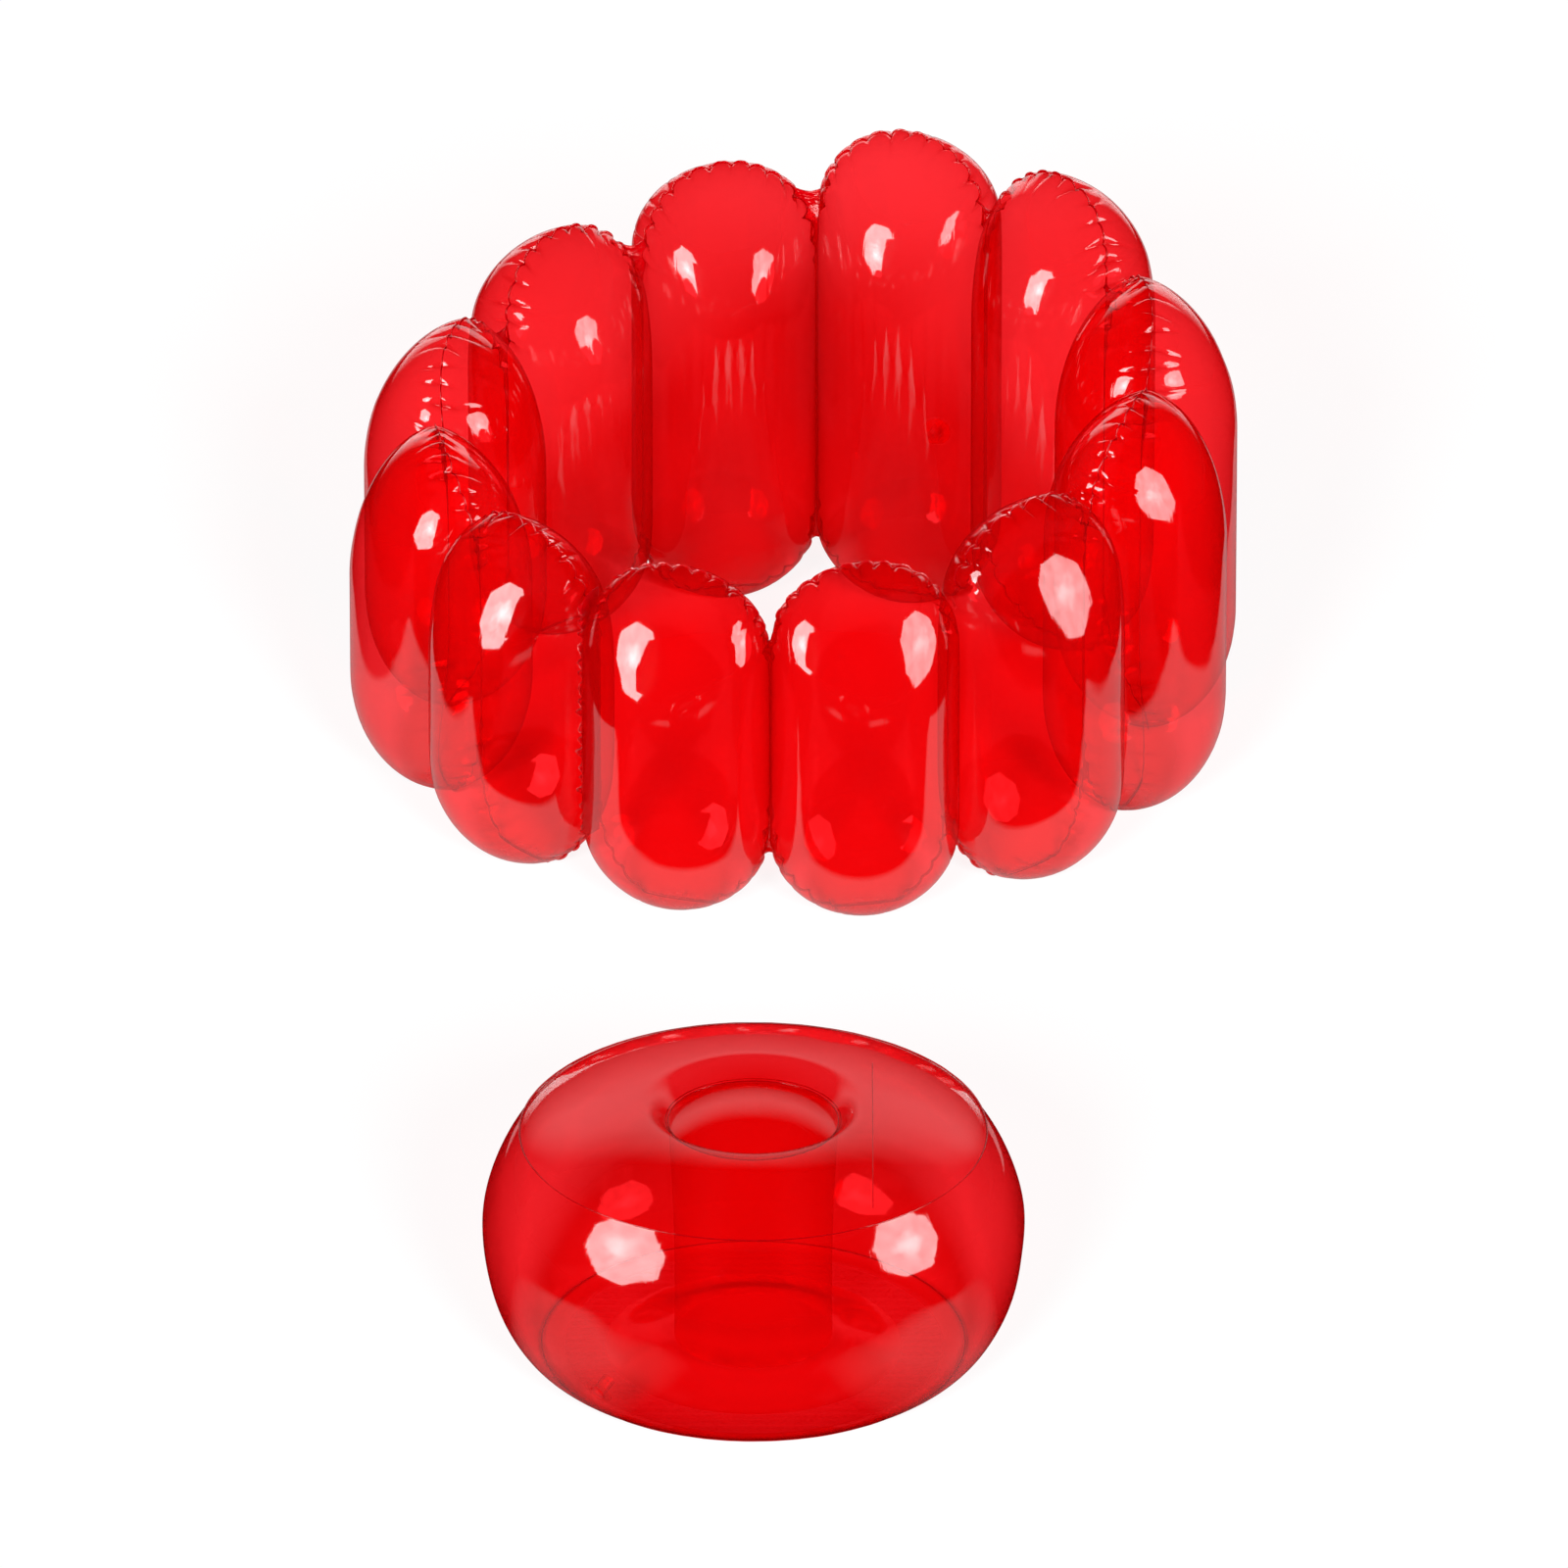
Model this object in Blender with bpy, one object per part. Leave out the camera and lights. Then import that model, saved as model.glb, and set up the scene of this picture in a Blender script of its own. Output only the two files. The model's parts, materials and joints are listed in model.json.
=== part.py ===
"""Inflatable ring chair in clear vinyl film.

Twelve upright air cells stand side by side in a ring, low at the front and tall at the back.
Each cell is an outer and an inner film panel, welded round its edge, and flat weld strips join
it to its neighbours. A round inflated seat with a central film column stands in front of the
ring, ready to go into its well. Both air bodies have a push-in stopper valve.
"""

import math

import bmesh
import bpy
from mathutils import Matrix, Vector

# Film and fits, in metres
FILM = 0.0004
GAP = 0.0003

# Air cells of the ring
CELL_COUNT = 12
CELL_RADIUS = 0.107
CELL_CLEARANCE = 0.0034
CELL_FOOT_RADIUS = 0.025
# Crest heights from the front pair of cells to the back pair
CREST_HEIGHTS = (0.432, 0.443, 0.478, 0.517, 0.558, 0.605)
CHAIR_TURN = math.radians(-33.9)

# Weld strips between the cells
TOP_NOTCH_WIDTH = 0.030
FOOT_NOTCH_WIDTH = 0.020
CLOSING_FIN_DEPTH = 0.034
CLOSING_FIN_WAVE = 0.018
CLOSING_FIN_SWING = 0.0042

# Seat, as a turned shape: insets are taken from its widest radius
SEAT_CLEARANCE = 0.008
SEAT_HEIGHT = 0.316
SEAT_WIDEST_HEIGHT = 0.150
UPPER_SEAM_INSET = 0.021
CREST_INSET = 0.118
BASE_SEAM_INSET = 0.066
FOOTPRINT_INSET = 0.088
TOP_WELD_RADIUS = 0.096
BASE_WELD_RADIUS = 0.089
HOLLOW_WIDTH = 0.052
GROOVE_DEPTH = 0.034
DOME_RISE = 0.024
HOLLOW_DEPTH = 0.030
BASE_DOME_DROP = 0.016
COLUMN_WAIST_INSET = 0.003
VENT_HEIGHT = 0.020
# How square the crown's curves are: 2 is an ellipse
CROWN_FULLNESS = 2.5

# Where the seat stands, from the ring's front edge and its centre line
SEAT_AHEAD = 0.660
SEAT_ASIDE = -0.046

# Stopper valve, the same on both air bodies
VALVE_BASE_RADIUS = 0.0165
VALVE_BASE_THICKNESS = 0.0014
VALVE_NECK_RADIUS = 0.0075
VALVE_BORE_RADIUS = 0.0052
VALVE_NECK_LENGTH = 0.022
VALVE_LIP_RADIUS = 0.0100
VALVE_LIP_THICKNESS = 0.0014
VALVE_RUNNING_GAP = 0.0004
STOPPER_LID_RADIUS = 0.0082
STOPPER_LID_THICKNESS = 0.0018
STOPPER_NOSE_RADIUS = 0.0043
STOPPER_NOSE_TIP_RADIUS = 0.0034
STOPPER_NOSE_LENGTH = 0.0045
STRAP_WIDTH = 0.0050
STRAP_REACH = 0.0026
RING_VALVE_HEIGHT = 0.165
RING_VALVE_CELL = 7
SEAT_VALVE_ROW = 1
SEAT_VALVE_SIDE = 21

# Facets
OUTER_ARC_STEPS = 9
INNER_ARC_STEPS = 7
CAP_STEPS = 3
WELD_END_STEPS = 5
SEAT_STEPS = 24
COLUMN_STEPS = 16
VALVE_STEPS = 20

# Worked out from the sizes above
CELL_PITCH = 2 * CELL_RADIUS + CELL_CLEARANCE
CELL_ANGLE = 2 * math.pi / CELL_COUNT
RING_RADIUS = CELL_PITCH / (2 * math.sin(CELL_ANGLE / 2))
FOOT_CENTRE_HEIGHT = math.sqrt(CELL_RADIUS**2 - CELL_FOOT_RADIUS**2)
WELD_THICKNESS = 2 * FILM
SEAT_RADIUS = RING_RADIUS - CELL_RADIUS - SEAT_CLEARANCE

RED_FILM = (0.80, 0.005, 0.006, 1.0)
DEEP_RED_FILM = (0.62, 0.004, 0.005, 1.0)
RED_VALVE = (0.70, 0.006, 0.010, 1.0)


def clear_scene():
    """Removes every object, so that the script can run again in one session."""
    for thing in list(bpy.data.objects):
        bpy.data.objects.remove(thing, do_unlink=True)


def film_material(name, colour, alpha, roughness=0.06):
    """A glossy plastic finish, see-through where alpha is under 1."""
    material = bpy.data.materials.new(name)
    material.use_nodes = True
    shader = material.node_tree.nodes["Principled BSDF"]
    shader.inputs["Base Color"].default_value = colour
    shader.inputs["Roughness"].default_value = roughness
    shader.inputs["Metallic"].default_value = 0.0
    shader.inputs["Alpha"].default_value = alpha
    return material


def empty(name, parent=None, matrix=None):
    """An empty that carries the pieces placed under it."""
    holder = bpy.data.objects.new(name, None)
    bpy.context.scene.collection.objects.link(holder)
    holder.parent = parent
    if matrix is not None:
        holder.matrix_basis = matrix
    return holder


def add_piece(name, mesh_data, parent, material, matrix=None):
    """One closed body from its points and faces, with its faces turned outwards."""
    points, faces = mesh_data
    mesh = bpy.data.meshes.new(name)
    mesh.from_pydata([tuple(p) for p in points], [], faces)
    form = bmesh.new()
    form.from_mesh(mesh)
    bmesh.ops.recalc_face_normals(form, faces=form.faces)
    form.to_mesh(mesh)
    form.free()
    mesh.shade_smooth()
    mesh.set_sharp_from_angle(angle=math.radians(40))
    mesh.materials.append(material)
    piece = bpy.data.objects.new(name, mesh)
    bpy.context.scene.collection.objects.link(piece)
    piece.parent = parent
    if matrix is not None:
        piece.matrix_basis = matrix
    return piece


def cell_stations(height, inset):
    """Height and radius of each cross-section of a cell, from its flat foot to its crest.

    The cell is a tube with a round cap at each end. The inset is how far this surface lies
    inside the cell's outer one.
    """
    radius = CELL_RADIUS - inset
    foot_angle = math.asin(FOOT_CENTRE_HEIGHT / CELL_RADIUS)
    foot_radius = math.sqrt(radius**2 - (FOOT_CENTRE_HEIGHT - inset) ** 2)
    crest_centre = height - CELL_RADIUS
    stations = [(inset, 0.0), (inset, foot_radius)]
    for step in range(CAP_STEPS - 1, -1, -1):
        angle = foot_angle * step / CAP_STEPS
        stations.append((FOOT_CENTRE_HEIGHT - radius * math.sin(angle), radius * math.cos(angle)))
    for step in range(CAP_STEPS):
        angle = math.pi / 2 * step / CAP_STEPS
        stations.append((crest_centre + radius * math.sin(angle), radius * math.cos(angle)))
    stations.append((crest_centre + radius, 0.0))
    return stations


def seam_lean(radius, full_radius):
    """How far a cell's welded edge leans in towards the ring's middle, as an angle.

    Along the straight sides it faces the neighbouring cell, and it runs out to nothing at the
    crest and the foot.
    """
    return CELL_ANGLE / 2 * radius / full_radius


def half_cell_rows(height, outer, inset):
    """Rows of points of one panel of a cell; the first and the last row are one point each."""
    rows = []
    side = 1 if outer else -1
    steps = OUTER_ARC_STEPS if outer else INNER_ARC_STEPS
    for level, radius in cell_stations(height, inset):
        lean = seam_lean(radius, CELL_RADIUS - inset)
        row = []
        for step in range(steps + 1 if radius > 0 else 1):
            angle = (math.pi + 2 * side * lean) * step / steps - side * lean
            across = radius * math.cos(angle)
            out = radius * math.sin(angle) + GAP / 2
            row.append(Vector((across, -side * out, level)))
        rows.append(row)
    return rows


def rows_between(faces, low, high):
    """Faces between two rows of point numbers, either of which may be a single point."""
    count = max(len(low), len(high))
    for step in range(count - 1):
        corners = [low[min(step, len(low) - 1)], low[min(step + 1, len(low) - 1)]]
        corners += [high[min(step + 1, len(high) - 1)], high[min(step, len(high) - 1)]]
        faces.append(list(dict.fromkeys(corners)))


def film_from_rows(outer_rows, inner_rows):
    """A thin film between two sets of rows, closed along both side edges."""
    points, faces, numbered = [], [], []
    for rows in (outer_rows, inner_rows):
        numbers = []
        for row in rows:
            numbers.append(list(range(len(points), len(points) + len(row))))
            points.extend(row)
        numbered.append(numbers)
        for low, high in zip(numbers, numbers[1:]):
            rows_between(faces, low, high)
    outer, inner = numbered
    for end in (0, -1):
        for step in range(len(outer) - 1):
            corners = [outer[step][end], outer[step + 1][end], inner[step + 1][end], inner[step][end]]
            faces.append(corners)
    return points, faces


def cell_skin(height, outer):
    """One film panel of a cell, the outer one or the inner one."""
    return film_from_rows(half_cell_rows(height, outer, 0.0), half_cell_rows(height, outer, FILM))


def crest_height(cell):
    """Crest height of a cell, counted from the right-hand front cell round to the left-hand one."""
    return CREST_HEIGHTS[min(cell, CELL_COUNT - 1 - cell)]


def cell_section_radius(cell, level):
    """Radius of a cell's cross-section at a height."""
    crest_centre = crest_height(cell) - CELL_RADIUS
    if level < FOOT_CENTRE_HEIGHT:
        past = FOOT_CENTRE_HEIGHT - level
    else:
        past = max(0.0, level - crest_centre)
    return math.sqrt(max(0.0, CELL_RADIUS**2 - past**2))


def seam_edge(cell, level, hand):
    """Point a gap outside a cell's welded edge, in the ring's own frame."""
    radius = cell_section_radius(cell, level)
    lean = seam_lean(radius, CELL_RADIUS)
    reach = radius + GAP
    place = Vector((hand * reach * math.cos(lean), reach * math.sin(lean) - RING_RADIUS, level))
    return Matrix.Rotation((cell + 0.5) * CELL_ANGLE, 3, "Z") @ place


def notch_level(first, second, width, start, end):
    """Height, between start and end, where two cells' welded edges are a notch's width apart."""
    for _ in range(40):
        middle = (start + end) / 2
        apart = (seam_edge(first, middle, 1) - seam_edge(second, middle, -1)).length
        if apart < width:
            start = middle
        else:
            end = middle
    return start


def weld_levels(first, second):
    """Heights of the cross-sections of a weld strip, closer together near its notches."""
    crest = min(crest_height(first), crest_height(second))
    foot = notch_level(first, second, FOOT_NOTCH_WIDTH, FOOT_CENTRE_HEIGHT, 0.0)
    top = notch_level(first, second, TOP_NOTCH_WIDTH, crest - CELL_RADIUS, crest)
    straight_low, straight_high = FOOT_CENTRE_HEIGHT, crest - CELL_RADIUS
    levels = [foot + (straight_low - foot) * step / WELD_END_STEPS for step in range(WELD_END_STEPS)]
    levels.append(straight_low)
    levels += [straight_high + (top - straight_high) * step / WELD_END_STEPS
               for step in range(WELD_END_STEPS + 1)]
    return levels


def weld_strip(first):
    """The flat strip of two welded films between a cell and the next one."""
    second = (first + 1) % CELL_COUNT
    facing = (first + 1) * CELL_ANGLE
    outward = Vector((math.sin(facing), -math.cos(facing), 0)) * (WELD_THICKNESS / 2)
    front, back = [], []
    for level in weld_levels(first, second):
        near = seam_edge(first, level, 1)
        far = seam_edge(second, level, -1)
        front.append([near + outward, far + outward])
        back.append([near - outward, far - outward])
    return closed_strip(front, back)


def closed_strip(front, back):
    """A thin strip between two sets of rows, closed along its sides and both its ends."""
    points, faces = film_from_rows(front, back)
    columns = len(front[0])
    last = columns * (len(front) - 1)
    behind = columns * len(front)
    for step in range(columns - 1):
        for row in (0, last):
            start = row + step
            faces.append([start, start + 1, behind + start + 1, behind + start])
    return points, faces


def closing_fin():
    """The gathered fin where the two ends of the film strip are welded together, at the front.

    Its root follows the face of the weld strip behind it, and it swings wider towards its edge.
    """
    last, first = CELL_COUNT - 1, 0
    levels = weld_levels(last, first)
    roots = [seam_edge(first, level, -1).y - WELD_THICKNESS / 2 - GAP for level in levels]
    edge = min(roots[WELD_END_STEPS], roots[WELD_END_STEPS + 1]) - CLOSING_FIN_DEPTH
    waves = round((levels[-1] - levels[0]) / CLOSING_FIN_WAVE)
    rows = 4 * waves
    half = Vector((WELD_THICKNESS / 2, 0, 0))
    front, back = [], []
    for row in range(rows + 1):
        level = levels[0] + (levels[-1] - levels[0]) * row / rows
        swing = CLOSING_FIN_SWING * math.sin(math.pi / 2 * row)
        line = [Vector((0, value_at(levels, roots, level), level)), Vector((swing, edge, level))]
        front.append([p + half for p in line])
        back.append([p - half for p in line])
    return closed_strip(front, back)


def value_at(places, values, place):
    """The value at a place on the straight runs between the listed places, least of two at a corner."""
    for near, far, low, high in zip(places, places[1:], values, values[1:]):
        if place <= far:
            return low + (high - low) * (place - near) / (far - near)
    return values[-1]


def turned_film(profile, inner_profile, steps, skip=()):
    """A film turned round the vertical axis, open along the ends of its profile.

    A profile that starts on the axis is closed there. Each pair in skip is a row and a step of
    the turn that stay open, as a vent through the film.
    """
    points, faces = [], []
    numbered = []
    for line in (profile, inner_profile):
        numbers = []
        for radius, level in line:
            count = steps if radius > 0 else 1
            numbers.append(list(range(len(points), len(points) + count)))
            for step in range(count):
                angle = 2 * math.pi * step / steps
                points.append(Vector((radius * math.sin(angle), -radius * math.cos(angle), level)))
        numbered.append(numbers)
    for numbers in numbered:
        for row, (low, high) in enumerate(zip(numbers, numbers[1:])):
            for step in range(steps):
                if (row, step) not in skip:
                    faces.append(ring_corners(low, high, step))
    outer, inner = numbered
    for end in (0, len(outer) - 1):
        if len(outer[end]) > 1:
            for step in range(steps):
                faces.append(ring_corners(outer[end], inner[end], step))
    for row, step in skip:
        loop = [(row, step), (row, (step + 1) % steps)]
        loop += [(row + 1, (step + 1) % steps), (row + 1, step)]
        for (r0, s0), (r1, s1) in zip(loop, loop[1:] + loop[:1]):
            faces.append([outer[r0][s0], outer[r1][s1], inner[r1][s1], inner[r0][s0]])
    return points, faces


def ring_corners(low, high, step):
    """Corners of one face between two rings of points, either of which may be a single point."""
    after = step + 1
    corners = [low[step % len(low)], low[after % len(low)]]
    corners += [high[after % len(high)], high[step % len(high)]]
    return list(dict.fromkeys(corners))


def offset_profile(profile, distance):
    """The profile moved to its left-hand side by a distance, mitred at its corners."""
    moved = []
    for index, (radius, level) in enumerate(profile):
        normals = []
        for a, b in ((index - 1, index), (index, index + 1)):
            if a >= 0 and b < len(profile):
                run = Vector((profile[b][0] - profile[a][0], profile[b][1] - profile[a][1]))
                run.normalize()
                normals.append(Vector((-run.y, run.x)))
        normal = sum(normals, Vector((0, 0)))
        normal.normalize()
        reach = distance / normal.dot(normals[0])
        at_axis = radius == 0
        if at_axis:
            normal, reach = Vector((0, math.copysign(1, normal.y))), distance
        moved.append((0.0 if at_axis else radius + normal.x * reach, level + normal.y * reach))
    return moved


def arc(centre, radii, start, end, steps, fullness=2.0):
    """Points of an arc in radius and height, from one angle in degrees to another.

    A fullness of 2 gives an ellipse, and more than 2 a squarer curve.
    """
    points = []
    for step in range(steps + 1):
        angle = math.radians(start + (end - start) * step / steps)
        place = []
        for middle, reach, share in zip(centre, radii, (math.cos(angle), math.sin(angle))):
            share = 0.0 if abs(share) < 1e-9 else share
            place.append(middle + reach * math.copysign(abs(share) ** (2 / fullness), share))
        points.append(tuple(place))
    return points


def seat_profiles():
    """Outer profile of each turned film panel of the seat, as radius and height."""
    crest_radius = SEAT_RADIUS - CREST_INSET
    footprint = SEAT_RADIUS - FOOTPRINT_INSET
    widest = SEAT_WIDEST_HEIGHT
    groove_level = SEAT_HEIGHT - GROOVE_DEPTH
    shoulder = (SEAT_RADIUS - crest_radius, SEAT_HEIGHT - widest)
    flank = (SEAT_RADIUS - footprint, widest)
    seam_share = 1 - UPPER_SEAM_INSET / shoulder[0]
    seam_angle = math.degrees(math.acos(seam_share ** (CROWN_FULLNESS / 2)))
    base_angle = -math.degrees(math.acos(1 - BASE_SEAM_INSET / flank[0]))
    groove = (crest_radius - TOP_WELD_RADIUS - GAP / 2, GROOVE_DEPTH)
    hollow = (HOLLOW_WIDTH, HOLLOW_DEPTH)
    dome_edge = TOP_WELD_RADIUS - GAP / 2
    base_dome_edge = BASE_WELD_RADIUS - GAP / 2

    band = arc((footprint, widest), flank, base_angle, 0, 3)
    band += arc((crest_radius, widest), shoulder, 0, seam_angle, 2, CROWN_FULLNESS)[1:]
    top = arc((crest_radius, widest), shoulder, seam_angle, 90, 3, CROWN_FULLNESS)
    top += arc((crest_radius, groove_level), groove, 90, 180, 3, CROWN_FULLNESS)[1:]
    dome = arc((0.0, groove_level), (dome_edge, DOME_RISE), 0, 90, 3)
    base = arc((BASE_WELD_RADIUS + GAP / 2, 0.0), hollow, 90, 0, 3)
    base.append((footprint, 0.0))
    base += arc((footprint, widest), flank, -90, base_angle, 1)[1:]
    base_dome = arc((0.0, HOLLOW_DEPTH), (base_dome_edge, BASE_DOME_DROP), 0, -90, 2)
    return {"band": band, "top": top, "dome": dome, "base": base, "base_dome": base_dome}


def part_at_seams(profile, seam_points):
    """The profile drawn back by half a gap at each end that meets another panel at a seam."""
    points = [Vector(p) for p in profile]
    for end, inner in seam_points:
        run = (points[inner] - points[end]).normalized()
        points[end] = points[end] + run * (GAP / 2)
    return [tuple(p) for p in points]


def column_profile():
    """Profile of the seat's inner film column, drawn in at its middle, from base to top."""
    low = HOLLOW_DEPTH + 2 * FILM + GAP
    high = SEAT_HEIGHT - GROOVE_DEPTH - 2 * FILM
    middle = (low + high) / 2
    waist = BASE_WELD_RADIUS - COLUMN_WAIST_INSET
    return [
        (BASE_WELD_RADIUS, low),
        (waist, (low + middle) / 2),
        (waist, middle - VENT_HEIGHT / 2),
        (waist, middle + VENT_HEIGHT / 2),
        (BASE_WELD_RADIUS, (high + middle) / 2),
        (TOP_WELD_RADIUS, high),
    ]


def build_seat(parent, film, deep_film):
    """The seat's six film pieces, with its foot at the parent's origin."""
    profiles = seat_profiles()
    profiles["band"] = part_at_seams(profiles["band"], ((0, 1), (-1, -2)))
    profiles["top"] = part_at_seams(profiles["top"], ((0, 1),))
    profiles["base"] = part_at_seams(profiles["base"], ((-1, -2),))
    names = {
        "band": "seat_side_band",
        "top": "seat_top_sheet",
        "dome": "seat_centre_dome",
        "base": "seat_base_sheet",
        "base_dome": "seat_base_dome",
    }
    inward = {"band": 1, "top": 1, "dome": 1, "base": 1, "base_dome": -1}
    for key, name in names.items():
        profile = profiles[key]
        inner = offset_profile(profile, inward[key] * FILM)
        add_piece(name, turned_film(profile, inner, SEAT_STEPS), parent, film)
    column = column_profile()
    vents = ((2, 0), (2, COLUMN_STEPS // 2))
    inner = offset_profile(column, FILM)
    add_piece("seat_column", turned_film(column, inner, COLUMN_STEPS, vents), parent, deep_film)
    return profiles["band"]


def turned_solid(profile, steps=VALVE_STEPS):
    """A solid turned from a closed outline of radii and heights, which may touch the axis."""
    points, faces, numbers = [], [], []
    for radius, level in profile:
        count = steps if radius > 0 else 1
        numbers.append(list(range(len(points), len(points) + count)))
        for step in range(count):
            angle = 2 * math.pi * step / steps
            points.append(Vector((radius * math.sin(angle), -radius * math.cos(angle), level)))
    pairs = list(zip(numbers, numbers[1:]))
    if profile[0][0] > 0 or profile[-1][0] > 0:
        pairs.append((numbers[-1], numbers[0]))
    for low, high in pairs:
        for step in range(steps):
            faces.append(ring_corners(low, high, step))
    return points, faces


def valve_base():
    """The welded disc round the neck, with its underside a gap above the film."""
    low, high = GAP, GAP + VALVE_BASE_THICKNESS
    bore = VALVE_NECK_RADIUS + VALVE_RUNNING_GAP
    outer = VALVE_BASE_RADIUS
    return turned_solid([(bore, low), (outer, low), (outer, high), (bore, high)])


def valve_neck():
    """The neck tube and its lip, pushed in until the lip rests on the disc."""
    seat = 2 * GAP + VALVE_BASE_THICKNESS
    top = seat + VALVE_LIP_THICKNESS
    foot = top - VALVE_NECK_LENGTH
    return turned_solid([
        (VALVE_BORE_RADIUS, foot),
        (VALVE_NECK_RADIUS, foot),
        (VALVE_NECK_RADIUS, seat),
        (VALVE_LIP_RADIUS, seat),
        (VALVE_LIP_RADIUS, top),
        (VALVE_BORE_RADIUS, top),
    ])


def stopper_levels():
    """Heights of the underside and the top of the stopper's lid when it is closed."""
    low = 3 * GAP + VALVE_BASE_THICKNESS + VALVE_LIP_THICKNESS
    return low, low + STOPPER_LID_THICKNESS


def hinge_offset():
    """Distance of the strap's bending line from the valve's axis."""
    return STOPPER_LID_RADIUS + STRAP_REACH


def stopper(parent, material):
    """The lid with its tapered nose and its strap, bending about the parent's X axis."""
    low, high = stopper_levels()
    middle = (low + high) / 2
    lid = turned_solid([
        (0.0, low - STOPPER_NOSE_LENGTH),
        (STOPPER_NOSE_TIP_RADIUS, low - STOPPER_NOSE_LENGTH),
        (STOPPER_NOSE_RADIUS, low),
        (STOPPER_LID_RADIUS, low),
        (STOPPER_LID_RADIUS, high),
        (0.0, high),
    ])
    form = bmesh.new()
    mesh = bpy.data.meshes.new("stopper_lid")
    mesh.from_pydata([tuple(p + Vector((0, -hinge_offset(), -middle))) for p in lid[0]], [], lid[1])
    form.from_mesh(mesh)
    bmesh.ops.recalc_face_normals(form, faces=form.faces)
    form.to_mesh(mesh)
    form.free()
    piece = bpy.data.objects.new("stopper", mesh)
    bpy.context.scene.collection.objects.link(piece)
    piece.parent = parent
    strap = strap_cutter(parent)
    join = piece.modifiers.new("strap", "BOOLEAN")
    join.operation = "UNION"
    join.object = strap
    join.solver = "EXACT"
    mesh.shade_smooth()
    mesh.set_sharp_from_angle(angle=math.radians(40))
    mesh.materials.append(material)
    return piece


def strap_cutter(parent):
    """The strap's block, which the lid takes in by a union; it isn't a piece by itself."""
    reach = STRAP_REACH + STOPPER_LID_RADIUS / 2
    half_width, half_thickness = STRAP_WIDTH / 2, STOPPER_LID_THICKNESS / 4
    form = bmesh.new()
    bmesh.ops.create_cube(form, size=1)
    bmesh.ops.scale(form, vec=(2 * half_width, reach, 2 * half_thickness), verts=form.verts)
    bmesh.ops.translate(form, vec=(0, -reach / 2, 0), verts=form.verts)
    mesh = bpy.data.meshes.new("strap_block")
    form.to_mesh(mesh)
    form.free()
    block = bpy.data.objects.new("strap_block", mesh)
    bpy.context.scene.collection.objects.link(block)
    block.parent = parent
    block.hide_render = True
    block.display_type = "WIRE"
    return block


def film_hole(skin, holder):
    """Cuts the neck's hole through the film that the valve stands on."""
    radius = VALVE_NECK_RADIUS + 2 * VALVE_RUNNING_GAP
    form = bmesh.new()
    bmesh.ops.create_cone(form, cap_ends=True, segments=VALVE_STEPS, radius1=radius, radius2=radius,
                          depth=VALVE_NECK_LENGTH)
    mesh = bpy.data.meshes.new(skin.name + "_hole")
    form.to_mesh(mesh)
    form.free()
    cutter = bpy.data.objects.new(skin.name + "_hole", mesh)
    bpy.context.scene.collection.objects.link(cutter)
    cutter.parent = holder
    cutter.hide_render = True
    cutter.display_type = "WIRE"
    cut = skin.modifiers.new("neck_hole", "BOOLEAN")
    cut.operation = "DIFFERENCE"
    cut.object = cutter
    cut.solver = "EXACT"


def build_valve(prefix, holder, skin, material):
    """A valve on a skin's facet: the holder's Z axis points out of the film, its Y axis up."""
    film_hole(skin, holder)
    add_piece(prefix + "_valve_base", valve_base(), holder, material)
    neck_holder = empty(prefix + "_neck_travel", holder)
    add_piece(prefix + "_valve_neck", valve_neck(), neck_holder, material)
    low, high = stopper_levels()
    bend = Matrix.Translation((0, hinge_offset(), (low + high) / 2))
    stopper_holder = empty(prefix + "_strap_bend", neck_holder, bend)
    cap = stopper(stopper_holder, material)
    cap.name = prefix + "_valve_stopper"


def facing_matrix(point, out):
    """Places a valve at a point, facing out of the film and with its strap uppermost."""
    out = out.normalized()
    side = Vector((0, 0, 1)).cross(out).normalized()
    up = out.cross(side)
    turned = Matrix((side, up, out)).transposed().to_4x4()
    return Matrix.Translation(point) @ turned


def build_ring(parent, film, deep_film, valve_material):
    """The ring's film panels, weld strips, closing fin and valve."""
    skins = {}
    for cell in range(CELL_COUNT):
        direction = (cell + 0.5) * CELL_ANGLE
        place = Matrix.Rotation(direction, 4, "Z") @ Matrix.Translation((0, -RING_RADIUS, 0))
        for word in ("outer", "inner"):
            name = f"cell_{cell + 1:02d}_{word}_skin"
            mesh_data = cell_skin(crest_height(cell), word == "outer")
            skins[name] = add_piece(name, mesh_data, parent, film, place)
    for cell in range(CELL_COUNT):
        after = (cell + 1) % CELL_COUNT
        name = f"weld_strip_{cell + 1:02d}_{after + 1:02d}"
        add_piece(name, weld_strip(cell), parent, deep_film)
    add_piece("closing_fin", closing_fin(), parent, deep_film)

    skin = skins[f"cell_{RING_VALVE_CELL:02d}_outer_skin"]
    facet = (math.pi + CELL_ANGLE) / OUTER_ARC_STEPS
    foot = Vector((0, -CELL_RADIUS * math.cos(facet / 2) - GAP / 2, RING_VALVE_HEIGHT))
    holder = empty("ring_valve", skin, facing_matrix(foot, Vector((0, -1, 0))))
    build_valve("ring", holder, skin, valve_material)


def build_seat_valve(seat, band, material):
    """The seat's valve, in the middle of a facet of the side band's lower flank."""
    low, high = Vector(band[SEAT_VALVE_ROW]), Vector(band[SEAT_VALVE_ROW + 1])
    run = high - low
    angle = 2 * math.pi * (SEAT_VALVE_SIDE + 0.5) / SEAT_STEPS
    flat = math.cos(math.pi / SEAT_STEPS)
    outward = Vector((math.sin(angle), -math.cos(angle), 0))
    middle = (low + high) / 2
    point = outward * middle.x * flat + Vector((0, 0, middle.y))
    slope = outward * run.y - Vector((0, 0, run.x * flat))
    holder = empty("seat_valve", seat, facing_matrix(point, slope))
    skin = bpy.data.objects["seat_side_band"]
    build_valve("seat", holder, skin, material)


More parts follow.
